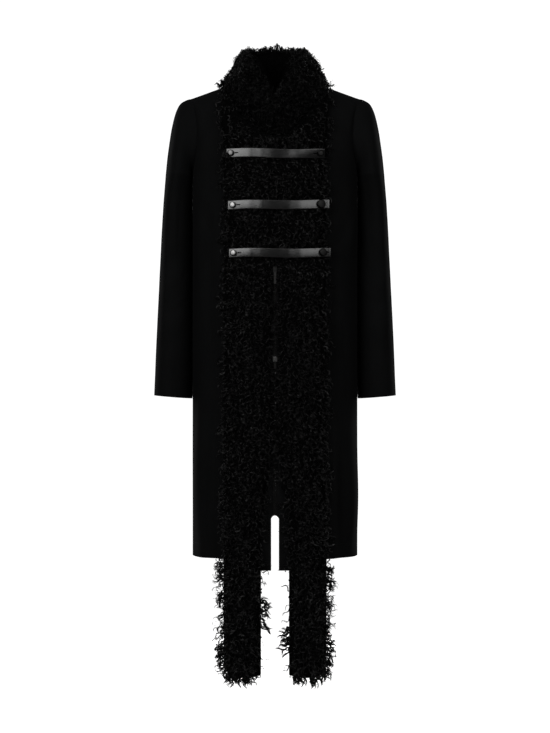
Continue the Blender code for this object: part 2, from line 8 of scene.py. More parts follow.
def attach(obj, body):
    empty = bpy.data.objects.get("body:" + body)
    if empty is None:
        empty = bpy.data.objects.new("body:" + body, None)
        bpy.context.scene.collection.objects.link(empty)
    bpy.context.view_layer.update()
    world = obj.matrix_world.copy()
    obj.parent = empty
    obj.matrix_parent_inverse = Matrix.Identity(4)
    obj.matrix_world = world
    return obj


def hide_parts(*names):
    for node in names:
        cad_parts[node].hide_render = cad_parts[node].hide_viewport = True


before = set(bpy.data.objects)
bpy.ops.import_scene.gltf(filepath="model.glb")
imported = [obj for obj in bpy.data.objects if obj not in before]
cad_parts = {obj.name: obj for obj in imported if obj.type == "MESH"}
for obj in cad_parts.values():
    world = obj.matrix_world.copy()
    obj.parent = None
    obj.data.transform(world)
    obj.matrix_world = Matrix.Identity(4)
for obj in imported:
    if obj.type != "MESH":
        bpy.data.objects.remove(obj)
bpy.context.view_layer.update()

mm = 0.001  # shapes below are worked out in millimetres
print("coat: frame loaded")

# Camera level with the hips, straight in front
shot = {"place": (0.0, -4.5, -0.612), "lens": 100.46}
bpy.ops.object.camera_add(location=shot["place"], rotation=(pi / 2, 0.0, 0.0))
camera = bpy.context.object
camera.data.lens = shot["lens"]
camera.data.sensor_width = 36.0
bpy.context.scene.camera = camera


# Small curves
def smooth(low, high, value):
    share = np.clip((value - low) / (high - low), 0.0, 1.0)
    return share * share * (3.0 - 2.0 * share)


def mix(start, end, share):
    return start + (end - start) * share


def between(table, place, column):
    rows = sorted(table)
    return float(np.interp(place, [r[0] for r in rows], [r[column] for r in rows]))


def eased(table, place, column):
    rows = sorted(table)
    last = len(rows) - 1
    spot = next((n for n in range(last) if place <= rows[n + 1][0]), last - 1)
    before, low, high, after = [rows[max(0, min(last, n))] for n in range(spot - 1, spot + 3)]
    span = high[0] - low[0]
    share = min(1.0, max(0.0, (place - low[0]) / span))
    start = finish = high[column] - low[column]
    if low[0] > before[0]:
        start = (high[column] - before[column]) * span / (high[0] - before[0])
    if after[0] > high[0]:
        finish = (after[column] - low[column]) * span / (after[0] - low[0])
    square, cube = share ** 2, share ** 3
    return (low[column] * (2 * cube - 3 * square + 1) + high[column] * (3 * square - 2 * cube)
            + start * (cube - 2 * square + share) + finish * (cube - square))


def unit(vectors):
    return vectors / np.maximum(np.linalg.norm(vectors, axis=-1, keepdims=True), 1e-9)


# Finishes: shader maths as expressions
class Wire:
    def __init__(self, finish, socket):
        self.finish = finish
        self.socket = socket

    def maths(self, operation, *others):
        return self.finish.node("ShaderNodeMath", {"operation": operation}, dict(enumerate((self, *others))))

    def __add__(self, other):
        return self.maths("ADD", other)

    def __sub__(self, other):
        return self.maths("SUBTRACT", other)

    def __rsub__(self, other):
        return self.finish.node("ShaderNodeMath", {"operation": "SUBTRACT"}, {0: other, 1: self})

    def __mul__(self, other):
        return self.maths("MULTIPLY", other)

    def __truediv__(self, other):
        return self.maths("DIVIDE", other)

    __radd__ = __add__
    __rmul__ = __mul__


class Finish:
    def __init__(self, name, **steady):
        self.material = bpy.data.materials.new(name)
        self.material.use_nodes = True
        self.tree = self.material.node_tree
        self.shader = self.tree.nodes["Principled BSDF"]
        for socket, value in steady.items():
            self.shader.inputs[socket.replace("_", " ")].default_value = value

    def node(self, kind, settings, values, give=0):
        made = self.tree.nodes.new(kind)
        for name, value in settings.items():
            if name == "stops":
                ramp = made.color_ramp.elements
                for spot, (place, shade) in enumerate(value):
                    stop = ramp[spot] if spot < 2 else ramp.new(place)
                    stop.position, stop.color = place, (*shade, 1.0)
            else:
                setattr(made, name, value)
        for name, value in values.items():
            if isinstance(value, Wire):
                self.tree.links.new(value.socket, made.inputs[name])
            else:
                made.inputs[name].default_value = value
        return Wire(self, made.outputs[give])

    def here(self, scale=(1.0, 1.0, 1.0), source="Object"):
        spot = self.node("ShaderNodeTexCoord", {}, {}, source)
        return self.node("ShaderNodeMapping", {}, {"Vector": spot, "Scale": scale})

    def noise(self, where, scale, detail=2.0, rough=0.5):
        values = {"Vector": where, "Scale": scale, "Detail": detail, "Roughness": rough}
        return self.node("ShaderNodeTexNoise", {}, values)

    def cells(self, feature, where, scale, **more):
        return self.node("ShaderNodeTexVoronoi", {"feature": feature}, {"Vector": where, "Scale": scale, **more})

    def ribs(self, scale, distortion, **shape):
        settings = {"wave_type": "BANDS", "bands_direction": "DIAGONAL", **shape}
        values = {"Vector": self.here(source="UV"), "Scale": scale, "Distortion": distortion, "Detail": 1.0}
        return self.node("ShaderNodeTexWave", settings, values, 1)

    def ramp(self, value, *stops):
        return self.node("ShaderNodeValToRGB", {"stops": stops}, {"Fac": value})

    def blend(self, share, first, second):
        return self.node("ShaderNodeMix", {"data_type": "RGBA"}, {0: share, 6: first, 7: second}, 2)

    def bump(self, height, distance, strength=1.0, under=None):
        values = {"Height": height, "Distance": distance, "Strength": strength}
        if under:
            values["Normal"] = under
        return self.node("ShaderNodeBump", {}, values)

    def feed(self, **links):
        for socket, value in links.items():
            self.tree.links.new(value.socket, self.shader.inputs[socket.replace("_", " ")])
        return self.material


def grey(value, warm=0.0):
    return (value * (1 + warm), value, value * (1 - warm))


# Black melton wool: felted nap, a little lighter where it is brushed up
woolLook = {"dark": 0.0034, "light": 0.0073, "nap": 0.00022}


def woolFinish(name):
    made = Finish(name, Specular_IOR_Level=0.03, Sheen_Weight=0.008, Sheen_Roughness=0.5,
                  Sheen_Tint=(0.8, 0.82, 0.86, 1.0))
    fibres = made.noise(made.here((1.0, 1.0, 0.35)), 1500.0, 3.0, 0.7)
    felt = made.noise(made.here(), 420.0, 4.0, 0.65)
    cloud = made.noise(made.here((1.0, 1.0, 0.5)), 14.0, 3.0, 0.55)
    mixed = fibres * 0.45 + felt * 0.35 + cloud * 0.35
    colour = made.ramp(mixed, (0.35, grey(woolLook["dark"], -0.04)), (0.78, grey(woolLook["light"], -0.03)))
    weave = made.cells("F1", made.here((1.0, 1.0, 0.6)), 760.0)
    normal = made.bump(fibres * 0.6 + felt * 0.6 + weave * 0.3, woolLook["nap"], 0.8)
    normal = made.bump(cloud, 0.0012, 0.35, normal)
    return made.feed(Base_Color=colour, Roughness=0.82 + felt * 0.16, Normal=normal)


def liningFinish(name):
    made = Finish(name, Specular_IOR_Level=0.12)
    twill = made.ribs(700.0, 0.4)
    soft = made.noise(made.here(), 22.0, 2.0)
    colour = made.ramp(soft, (0.3, grey(0.003)), (0.8, grey(0.0048)))
    normal = made.bump(twill * 0.5 + soft * 0.5, 0.00012, 0.6)
    return made.feed(Base_Color=colour, Roughness=0.55 + soft * 0.15, Normal=normal)


# Curly lamb fur: glossy strands, each lock its own shade
furLook = {"root": 0.0008, "middle": 0.0011, "tip": 0.0042, "gloss": 0.28}


def furFinish(name, shine):
    made = Finish(name, Specular_IOR_Level=shine)
    if shine > 0.1:
        strands = made.noise(made.here((9.0, 55.0, 1.0), "UV"), 1.0, 3.0, 0.6)
        tone = made.node("ShaderNodeAttribute", {"attribute_name": "tone"}, {}, 2)
        colour = made.ramp(tone * 0.75 + strands * 0.3, (0.1, grey(furLook["root"])),
(0.62, grey(furLook["middle"])),
                           (1.0, grey(furLook["tip"], 0.06)))
        rough = furLook["gloss"] + strands * 0.16 + (1.0 - tone) * 0.22
        normal = made.bump(strands, 0.0009, 0.9)
    else:
        curls = made.cells("SMOOTH_F1", made.here((1.0, 1.0, 0.7)), 130.0, Smoothness=0.4)
        fine = made.noise(made.here(), 520.0, 3.0, 0.7)
        # painted shade: the underfur is coloured darker at the curls' edges, where its bumps dip
        colour = made.ramp(curls + fine * 0.3, (0.1, grey(0.0016)), (0.9, grey(0.0006)))
        rough = 0.7 + fine * 0.2
        normal = made.bump(1.0 - curls + fine * 0.35, 0.0035, 0.9)
    return made.feed(Base_Color=colour, Roughness=rough, Normal=normal)


# Satin leather with a fine grain; edges rubbed dull
leatherLook = {"face": 0.0035, "edge": 0.009, "gloss": 0.215, "width": 0.0196}


def leatherFinish(name):
    made = Finish(name, Specular_IOR_Level=0.64, Coat_Roughness=0.2)
    where = made.here()
    pores = made.ramp(made.cells("DISTANCE_TO_EDGE", where, 950.0), (0.0, grey(0.0)), (0.16, grey(1.0)))
    grain = made.noise(where, 300.0, 4.0, 0.6)
    drift = made.noise(made.here((1.0, 1.0, 3.0)), 28.0, 2.0)
    up = made.node("ShaderNodeSeparateXYZ", {}, {"Vector": made.node("ShaderNodeTexCoord", {}, {}, "UV")}, 1)
    rim = made.ramp((up / leatherLook["width"] - 0.5).maths("ABSOLUTE"), (0.40, grey(0.0)), (0.5, grey(1.0)))
    face = made.ramp(grain, (0.3, grey(leatherLook["face"] * 0.7)), (0.8, grey(leatherLook["face"])))
    colour = made.blend(rim, face, (*grey(leatherLook["edge"]), 1.0))
    rough = leatherLook["gloss"] - 0.05 + grain * 0.05 + drift * 0.05 + rim * 0.15
    normal = made.bump(pores * 0.5 + grain, 0.00005, 0.6)
    normal = made.bump(drift, 0.0004, 0.2, normal)
    return made.feed(Base_Color=colour, Roughness=rough, Coat_Weight=0.25 - rim * 0.22, Normal=normal)


def metalFinish(name, shade, gloss):
    made = Finish(name, Metallic=1.0)
    scratches = made.noise(made.here((1.0, 1.0, 9.0)), 900.0, 3.0, 0.6)
    cloud = made.noise(made.here(), 160.0, 3.0)
    colour = made.ramp(cloud * 0.7 + scratches * 0.3, (0.3, grey(shade * 0.75)), (0.7, grey(shade, 0.015)))
    rough = gloss + scratches * 0.16 - 0.05
    return made.feed(Base_Color=colour, Roughness=rough, Normal=made.bump(scratches, 0.00003, 0.5))


def tapeFinish(name):
    made = Finish(name, Specular_IOR_Level=0.2)
    ribs = made.ribs(480.0, 0.3, wave_profile="TRI")
    fuzz = made.noise(made.here(), 900.0, 3.0)
    colour = made.ramp(ribs * 0.6 + fuzz * 0.4, (0.2, grey(0.0025)), (0.9, grey(0.0065)))
    normal = made.bump(ribs + fuzz * 0.4, 0.00025, 0.8)
    return made.feed(Base_Color=colour, Roughness=0.72 + fuzz * 0.2, Normal=normal)


# Making helpers
def nothingPicked():
    bpy.ops.object.select_all(action="DESELECT")


def pickOnly(piece):
    nothingPicked()
    piece.select_set(True)
    bpy.context.view_layer.objects.active = piece


def editAll(piece, *steps):
    pickOnly(piece)
    bpy.ops.object.mode_set(mode="EDIT")
    bpy.ops.mesh.select_all(action="SELECT")
    for step in steps:
        step()
    bpy.ops.object.mode_set(mode="OBJECT")


def addModifier(piece, kind, **settings):
    pickOnly(piece)
    made = piece.modifiers.new(kind.lower(), kind)
    for name, value in settings.items():
        setattr(made, name, value)
    bpy.ops.object.modifier_apply(modifier=made.name)


def dress(piece, *materials):
    piece.data.materials.clear()
    for made in materials:
        piece.data.materials.append(made)


def roundEdges(piece, width, segments, angle):
    addModifier(piece, "BEVEL", width=width, segments=segments, limit_method="ANGLE", angle_limit=radians(angle))


def finishPiece(piece, materials, stands=(), angle=40.0):
    pickOnly(piece)
    bpy.ops.object.shade_smooth_by_angle(angle=radians(angle))
    dress(piece, *materials)
    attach(piece, "coat")
    if stands:
        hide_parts(*stands)


def normalsOf(points, wrap=False):
    if wrap:
        spread = np.concatenate([points[:, -2:-1], points, points[:, 1:2]], axis=1)
        along = np.gradient(spread, axis=1)[:, 1:-1]
    else:
        along = np.gradient(points, axis=1)
    return unit(np.cross(along, np.gradient(points, axis=0)))


def gridPiece(name, points, wrap=False, thick=None):
    # A grid laid on points[row, column], given a back wall where thick holds one
    rows, columns = points.shape[0] - 1, points.shape[1] - 1
    nothingPicked()
    bpy.ops.mesh.primitive_grid_add(x_subdivisions=columns, y_subdivisions=rows, size=1.0)
    piece = bpy.context.object
    piece.name = piece.data.name = name
    mesh = piece.data
    flat = np.empty(len(mesh.vertices) * 3)
    mesh.vertices.foreach_get("co", flat)
    flat = flat.reshape(-1, 3)
    column = np.rint((flat[:, 0] + 0.5) * columns).astype(int)
    row = np.rint((flat[:, 1] + 0.5) * rows).astype(int)
    across = np.zeros(points.shape[:2])
    across[:, 1:] = np.cumsum(np.linalg.norm(np.diff(points, axis=1), axis=2), axis=1)
    rise = np.zeros(points.shape[:2])
    rise[1:] = np.cumsum(np.linalg.norm(np.diff(points, axis=0), axis=2), axis=0)
    corner = np.empty(len(mesh.loops), dtype=np.int32)
    mesh.loops.foreach_get("vertex_index", corner)
    uv = np.stack([across[row, column], rise[row, column]], axis=1)[corner] * mm
    mesh.uv_layers.active.data.foreach_set("uv", uv.ravel())
    if thick is not None:
        spot = mesh.attributes.new("spot", "INT", "POINT")
        spot.data.foreach_set("value", np.arange(len(mesh.vertices), dtype=np.int32))
        editAll(piece, lambda: bpy.ops.mesh.extrude_region_move(TRANSFORM_OT_translate={"value": (0.0, 0.0, 0.1)}))
        count = len(mesh.vertices)
        spots = np.empty(count, dtype=np.int32)
        mesh.attributes["spot"].data.foreach_get("value", spots)
        picked = np.empty(count, dtype=bool)
        mesh.vertices.foreach_get("select", picked)
        place = np.where(picked[:, None], thick[row[spots], column[spots]], points[row[spots], column[spots]])
        mesh.vertices.foreach_set("co", (place * mm).ravel())
        mesh.attributes.remove(mesh.attributes["spot"])
        for face in mesh.polygons:
            face.material_index = int(all(picked[n] for n in face.vertices))
    else:
        mesh.vertices.foreach_set("co", (points[row, column] * mm).ravel())
    mesh.update()
    if wrap:
        editAll(piece, lambda: bpy.ops.mesh.remove_doubles(threshold=0.00002))
    if thick is not None:
        editAll(piece, lambda: bpy.ops.mesh.normals_make_consistent(inside=False))
    return piece


def creaseField(across, height, creases):
    # Soft troughs (-) and ridges (+), each from one place to another
    lift = np.zeros_like(across)
    for startX, startZ, endX, endZ, depth, width, waver in creases:
        run = Vector((endX - startX, endZ - startZ))
        length = run.length
        along = ((across - startX) * run.x + (height - startZ) * run.y) / length ** 2
        side = ((across - startX) * run.y - (height - startZ) * run.x) / length
        side = side + waver * np.sin(along * 5.3 + startX * 0.07)
        taper = np.sin(pi * np.clip(along, 0.0, 1.0)) ** 0.8
        lift += 1.8 * depth * taper * (1.0 + 0.3 * np.sin(along * 7.1 + endZ)) * np.exp(-(side / width) ** 2)
    return lift


# The body: four wool panels from neck to hem
body = {
    "halfWidth": 181.0, "frontDepth": 124.0, "backDepth": 117.0, "depthGain": 9.0, "squareness": 2.3,
    "underarm": -190.0, "sideHem": -1025.0, "lowest": -1048.0, "cloth": 2.2, "seam": -0.2,
    "neckPoint": (75.0, 16.0), "shoulderPoint": (185.0, -24.0),
    "frontNeck": (88.0, -62.0), "backNeck": (62.0, -4.0),
    "armholeHalfDepth": 57.0, "armholeHollow": 15.0, "chestRows": 10,
    "frontHeights": (-1048, -990, -938, -926, -880, -800, -720, -640, -560, -480, -400, -386, -320, -250, -190),
    "backHeights": (-1040, -990, -948, -936, -922, -870, -790, -710, -630, -550, -470, -390, -320, -250, -190),
    "columns": 56, "finer": 4,
    # start x, z to end x, z, depth, width, waver
    "creases": {
        ("front", -1): ((-141, -372, -140, -590, -2.3, 8, 3), (-163, -200, -160, -500, 1.7, 13, 4),
                        (-124, -250, -128, -420, 1.0, 9, 2),
                        (-153, -800, -150, -1046, -2.2, 9, 2), (-168, -640, -166, -1020, 1.8, 8, 3),
                        (-131, -700, -127, -1050, 1.3, 9, 4),
                        (-176, -236, -130, -330, -1.3, 10, 3), (-150, -60, -168, -150, -1.5, 13, 2)),
        ("front", 1): ((165, -214, 163, -392, 2.0, 12, 3), (134, -300, 131, -660, -1.9, 11, 5),
                       (166, -730, 164, -1040, 2.6, 12, 4),
                       (146, -770, 142, -1044, -1.8, 8, 3), (124, -640, 122, -940, 1.2, 8, 3),
                       (176, -240, 138, -350, -1.5, 9, 3),
                       (152, -70, 166, -140, -1.2, 12, 2), (152, -500, 155, -760, -1.4, 9, 4)),
        ("back", -1): ((-62, -180, -70, -520, -1.8, 16, 6), (-128, -140, -104, -330, -2.0, 14, 4),
                       (-96, -560, -100, -1030, 2.2, 13, 7),
                       (-140, -420, -138, -980, -2.0, 12, 6), (-36, -640, -40, -1034, -1.9, 10, 4),
                       (-165, -700, -160, -1020, 1.7, 10, 4),
                       (-30, -80, -95, -130, -1.1, 15, 4)),
        ("back", 1): ((54, -200, 66, -470, -1.6, 15, 5), (132, -150, 102, -310, -2.2, 13, 4),
                      (84, -620, 90, -1032, 2.4, 12, 6),
                      (124, -480, 129, -1010, -2.2, 13, 7), (44, -560, 38, -960, -1.4, 11, 5),
                      (160, -600, 163, -1018, 1.9, 11, 5),
                      (36, -70, 104, -126, -1.3, 16, 4)),
    },
    "flat": {"front": (0.270, 1.146, 0.2475), "back": (0.264, 1.156, 0.250)},
}


def folds(x, z, front):
    reach = abs(x)
    fall = smooth(-230.0, -1030.0, z)
    edge = smooth(0.0, 26.0, body["halfWidth"] - reach)
    edge *= smooth(86.0, 126.0, reach) if front else smooth(0.0, 40.0, reach)
    if front:
        lean = reach + 0.030 * (z + 600.0) * (1.0 if x > 0 else -0.6)
        wave = sin(lean / 13.6 + (0.4 if x > 0 else 1.5)) + 0.45 * sin(lean / 8.4 + (2.0 if x > 0 else 0.3))
        return 4.2 * fall * edge * wave
    lean = reach + 0.040 * (z + 700.0) * (1.0 if x > 0 else -0.7)
    wave = sin(lean / 15.0 + (0.9 if x > 0 else 2.2)) + 0.4 * sin(lean / 9.5 + (0.2 if x > 0 else 1.1))
    return 6.0 * fall * edge * wave


def section(turn):
    power = 2.0 / body["squareness"]
    return max(0.0, sin(turn)) ** power, max(0.0, cos(turn)) ** power


def depthAt(z, front):
    depth = body["frontDepth"] if front else body["backDepth"]
    return depth + body["depthGain"] * smooth(body["underarm"], body["lowest"], z)


def skirtPoint(across, z, hand, front):
    wide, deep = section(across * pi / 2)
    x = body["halfWidth"] * wide
    return x, depthAt(z, front) * deep + folds(hand * x, z, front), z


def neckCurve(turn):
    depth, low = body["frontNeck"] if cos(turn) >= 0 else body["backNeck"]
    return body["neckPoint"][0] * sin(turn), -depth * cos(turn), mix(low, body["neckPoint"][1], 1.0 - abs(cos(turn)))


def centreEdge(up, front):
    depth, low = body["frontNeck"] if front else body["backNeck"]
    bend = 0.62 if front else 0.74
    if up <= bend:
        share = up / bend
        return 0.0, mix(depth, depthAt(body["underarm"], front), 1 - share * share), mix(body["underarm"], low, share)
    turn = (up - bend) / (1.0 - bend) * pi / 2
    x, y, z = neckCurve(turn if front else pi - turn)
    return x, abs(y), z


def armhole(up):
    turn = pi * up
    low, high = body["underarm"], body["shoulderPoint"][1]
    x = mix(body["halfWidth"], body["shoulderPoint"][0], up) - body["armholeHollow"] * sin(turn) ** 2
    return x, body["armholeHalfDepth"] * sin(turn), (low + high) / 2 - (high - low) / 2 * cos(turn)


def chestPoint(across, up, front):
    wide, deep = section(across * pi / 2)
    left, right = centreEdge(up, front), armhole(up)
    x = mix(left[0], right[0], mix(wide, across, smooth(0.55, 1.0, up)))
    share = (x - left[0]) / (right[0] - left[0])
    lower = share ** mix(2.0, 1.0, smooth(0.62, 1.0, up))
    return x, mix(right[1], left[1], deep), mix(left[2], right[2], lower)


def openEdge(z, front):
    if front:
        return mix(mix(0.4, 5.5, smooth(-386.0, -400.0, z)), 8.2, smooth(-926.0, -938.0, z))
    return mix(0.001, 10.2, smooth(-922.0, -948.0, z)) + 3.0 * smooth(-948.0, -1040.0, z)


def facePoint(across, row, hand, front):
    heights = body["frontHeights"] if front else body["backHeights"]
    skirt = len(heights) - 1
    if row <= skirt:
        spot = min(int(row), skirt - 1)
        z = mix(heights[spot], heights[spot + 1], row - spot)
        start = (openEdge(z, front) / body["halfWidth"]) ** (body["squareness"] / 2) * 2 / pi
        along = mix(start, 1.0, across)
        hem = mix(heights[0], body["sideHem"], smooth(0.30, 0.64, section(along * pi / 2)[0]))
        share = (z - body["underarm"]) / (heights[0] - body["underarm"])
        x, y, z = skirtPoint(along, mix(body["underarm"], hem, share), hand, front)
    else:
        x, y, z = chestPoint(across, (row - skirt) / body["chestRows"], front)
        x += (0.4 if front else 0.001) * (1.0 - across)
    y += body["seam"] / 2
    return x * hand, (-y if front else y), z


def panelPoints(hand, front):
    rows = (len(body["frontHeights"]) - 1 + body["chestRows"]) * body["finer"]
    points = np.array([[facePoint(c / body["columns"], r / body["finer"], hand, front)
                        for c in range(body["columns"] + 1)] for r in range(rows + 1)])
    if (hand > 0) != front:
        points = points[:, ::-1]
    # the cloth runs smoothly from skirt to chest
    joint, reach = rows - body["chestRows"] * body["finer"], 12
    inward = np.arange(body["columns"] + 1)
    share = smooth(0.0, 5.0, inward) * smooth(0.0, 5.0, inward[::-1])
    share = 0.5 * np.sin(np.linspace(0.0, pi, 2 * reach + 1))[:, None, None] * share[None, :, None]
    for _ in range(60):
        part = points[joint - reach:joint + reach + 1]
        beside = (points[joint - reach - 1:joint + reach] + points[joint - reach + 1:joint + reach + 2]) / 2
        points[joint - reach:joint + reach + 1] = mix(part, beside, share)
    normals = normalsOf(points)
    lift = creaseField(points[..., 0], points[..., 2], body["creases"]["front" if front else "back", hand])
    reach = np.abs(points[..., 0])
    lift += 0.8 * np.sin(points[..., 2] / 61.0 + reach / 33.0 + hand) * np.sin(reach / 47.0 + points[..., 2] / 170.0)
    columns, depth = np.arange(body["columns"] + 1), np.arange(rows + 1)
    calm = smooth(0.0, 6.0, columns) * smooth(0.0, 6.0, columns[::-1])
    calm = calm[None, :] * smooth(0.0, 7.0, depth[::-1])[:, None]
    if front:
        calm = calm * smooth(104.0, 122.0, reach)
    return points + normals * (lift * calm)[..., None]


wool, lining = woolFinish("black_melton_wool"), liningFinish("black_lining")
panelFaces = {}
for side, hand in (("left", 1), ("right", -1)):
    for title in ("front", "back"):
        face = panelPoints(hand, title == "front")
        normals = normalsOf(face)
        seamRow = normals[-1].copy()
        seamRow[:, 1] = 0.0
        normals[-1] = unit(seamRow)
        panelFaces[title, side] = face, normals
        made = gridPiece(title + "_panel_" + side, face, thick=face - normals * body["cloth"])
        roundEdges(made, 0.0006, 2, 55)
        finishPiece(made, (wool, lining), (title + "_" + side,), 50.0)
print("coat: panels")

# Sleeves: a cap that opens like a fan from the underarm, then a hanging tube
sleeve = {
    "around": 88, "cap": 40, "tube": 72, "capFoot": -193.0, "cuff": -679.0, "cuffTilt": 7.0,
    "capOutline": ((185.3, -24.0), (193.5, -26.0), (206.5, -33.4), (214.2, -44.5), (221.0, -63.0),
                   (227.6, -92.0), (232.0, -120.0), (236.4, -152.0), (238.8, -175.0), (240.5, -193.0)),
    "capDepth": (57.0, 57.5, 58.5, 60.0, 61.5, 63.0, 64.0, 65.0, 65.5, 66.0),
    "capHollow": (15.0, 11.0, 6.5, 4.0, 2.0, 0.8, 0.2, 0.0, 0.0, 0.0),
    # height, inner, outer, middle, half depth, toe-in
    "tubeTable": ((-193.0, 181.6, 240.5, 2.0, 66.0, 0.00), (-225.0, 180.9, 243.0, 12.0, 66.0, 0.09),
                  (-260.0, 180.4, 245.8, 18.0, 66.0, 0.13), (-320.0, 178.4, 249.6, 22.0, 65.5, 0.14),
                  (-380.0, 178.2, 252.6, 24.0, 65.0, 0.14), (-470.0, 178.2, 257.2, 24.0, 64.0, 0.13),
                  (-570.0, 178.8, 262.2, 23.0, 63.0, 0.12), (-640.0, 180.2, 264.8, 21.0, 62.4, 0.11),
                  (-679.0, 183.0, 266.4, 20.0, 62.0, 0.09)),
    # degrees round (0 at the body, 90 in front), height, to degrees, height, depth, width, waver
    "creases": {
        1: ((84, -70, 96, -300, 2.4, 11, 3), (58, -190, 72, -420, -2.2, 9, 4), (118, -150, 112, -520, 1.5, 12, 6),
            (40, -380, 96, -432, -2.3, 9, 3), (36, -430, 88, -470, 1.7, 8, 3), (46, -500, 102, -476, -1.7, 8, 3),
            (108, -560, 100, -676, -1.1, 10, 3), (250, -150, 262, -380, -2.2, 12, 5),
            (285, -330, 236, -410, 2.0, 9, 3),
            (300, -420, 244, -452, -2.3, 9, 3), (292, -500, 250, -480, 1.5, 9, 3),
            (268, -540, 262, -676, 1.4, 11, 4),
            (66, -530, 62, -676, 1.2, 9, 3), (150, -60, 146, -240, -1.2, 13, 3)),
        -1: ((92, -90, 86, -330, 2.1, 12, 3), (62, -200, 66, -380, -1.9, 9, 3), (120, -180, 118, -600, 1.3, 12, 6),
             (34, -396, 90, -452, -2.0, 9, 3), (42, -470, 96, -500, -1.8, 8, 3), (30, -440, 84, -482, 1.5, 8, 3),
             (256, -170, 266, -340, -2.4, 12, 5), (290, -360, 240, -398, -2.0, 9, 3),
             (282, -420, 232, -470, 2.1, 9, 3),
             (300, -474, 246, -520, -1.9, 9, 3), (262, -560, 270, -676, -1.3, 11, 4),
             (98, -540, 92, -676, 1.3, 10, 4),
             (142, -70, 150, -210, -1.3, 12, 3)),
    },
    "flat": (0.330, 0.676, 0.194),
}


def capTable():
    rows = []
    for n, ((x, z), depth, hollow) in enumerate(zip(sleeve["capOutline"], sleeve["capDepth"], sleeve["capHollow"])):
        turn = min(pi / 2, max(0.0, atan2(x - body["halfWidth"], z - body["underarm"]))) if n else 0.0
        pivot = body["halfWidth"] + 0.3, body["underarm"] - 3.0 + 3.0 * cos(turn)
        rows.append((float(n), *pivot, x, z, depth, hollow))
    return rows


def sleevePoints(hand):
    table = capTable()
    turns = np.linspace(0.0, 2 * pi, sleeve["around"] + 1)
    rings = []
    for step in range(sleeve["cap"] + 1):
        place = 9.0 * step / sleeve["cap"]
        innerX, innerZ, outerX, outerZ, depth, hollow = (eased(table, place, n) for n in range(1, 7))
        half = np.array((outerX - innerX, outerZ - innerZ)) / 2
        side = np.array((half[1], -half[0])) / np.linalg.norm(half)
        x = innerX + half[0] * (1 - np.cos(turns)) - side[0] * hollow * np.sin(turns) ** 2
        z = innerZ + half[1] * (1 - np.cos(turns)) - side[1] * hollow * np.sin(turns) ** 2
        rings.append(np.stack([x, -depth * np.sin(turns), z], axis=1))
    for step in range(1, sleeve["tube"] + 1):
        share = step / sleeve["tube"]
        z = mix(sleeve["capFoot"], sleeve["cuff"], share)
        inner, outer, middle, depth, toe = (eased(sleeve["tubeTable"], z, n) for n in range(1, 6))
        reach = (outer - inner) / 2
        half = sqrt(reach * reach - (toe * depth) ** 2)
        centre = (inner + outer) / 2
        elbow = 2.6 * smooth(0.12, 0.4, share) * (1.0 - smooth(0.62, 0.95, share))
        y = -depth * np.sin(turns)
        x = centre - half * np.cos(turns) - toe * y
        crease = elbow * np.sin(z / (15.0 + hand) + 2.2 * np.sin(turns) + hand)
        out = 1.0 + crease * np.maximum(0.0, np.sin(turns - 0.5)) / depth
        tilt = sleeve["cuffTilt"] * smooth(0.8, 1.0, share) * (x - centre) / reach / 2
        rings.append(np.stack([x, middle + y * out, z + tilt], axis=1))
    points = np.array(rings)
    points[:8, :, 0] -= 1.1 * (1.0 - smooth(0.0, 7.0, np.arange(8)))[:, None]  # sewn in against the armhole
    points[..., 0] *= hand
    if hand < 0:
        points = points[:, ::-1]
    normals = normalsOf(points, True)
    away = points - points.mean(axis=1, keepdims=True)
    if (normals * away).sum() < 0:
        points = points[:, ::-1]
        normals = normalsOf(points, True)
    turned = np.degrees(turns)
    if abs(points[50, 22, 1] - points[50, :, 1].min()) > 1.0:
        turned = 360.0 - turned
    degrees = np.broadcast_to(turned[None, :], points.shape[:2])
    lift = creaseField(degrees, points[..., 2], sleeve["creases"][hand])
    lift += 0.7 * np.sin(points[..., 2] / 43.0 + 2.0 * np.radians(degrees) + hand) * np.sin(np.radians(degrees))
    calm = smooth(0.0, 12.0, np.arange(len(points)))[:, None]
    calm = calm * (0.35 + 0.65 * (1 - smooth(-60.0, 0.0, 120.0 - np.abs(degrees - 180.0))))
    inside = smooth(20.0, 50.0, np.minimum(degrees, 360.0 - degrees))
    points = points + normals * (lift * calm * inside)[..., None]
    return points, normalsOf(points, True)


for side, hand in (("left", 1), ("right", -1)):
    face, normals = sleevePoints(hand)
    panelFaces["sleeve", side] = face, normals
    made = gridPiece("wool_sleeve_" + side, face, wrap=True, thick=face - normals * body["cloth"])
    roundEdges(made, 0.0006, 2, 55)
    finishPiece(made, (wool, lining), ("sleeve_" + side,), 50.0)
print("coat: sleeves")


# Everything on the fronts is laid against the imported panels
def panelTree():
    points, faces = [], []
    for name in ("front_left", "front_right", "back_left", "back_right"):
        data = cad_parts[name].data
        first = len(points)
        points += [vertex.co / mm for vertex in data.vertices]
        faces += [[first + n for n in face.vertices] for face in data.polygons]
    return BVHTree.FromPolygons(points, faces)


def belowHemTree():
    points, faces = [], []
    heights = range(-1350, -959, 10)
    for z in heights:
        points += [(x, -y, z) for x, y, z in (skirtPoint(c / 40, z, 1, True) for c in range(41))]
    for row in range(len(heights) - 1):
        for c in range(40):
            n = row * 41 + c
            faces.append((n, n + 1, n + 42, n + 41))
    return BVHTree.FromPolygons(points, faces)


panels, belowHem = panelTree(), belowHemTree()


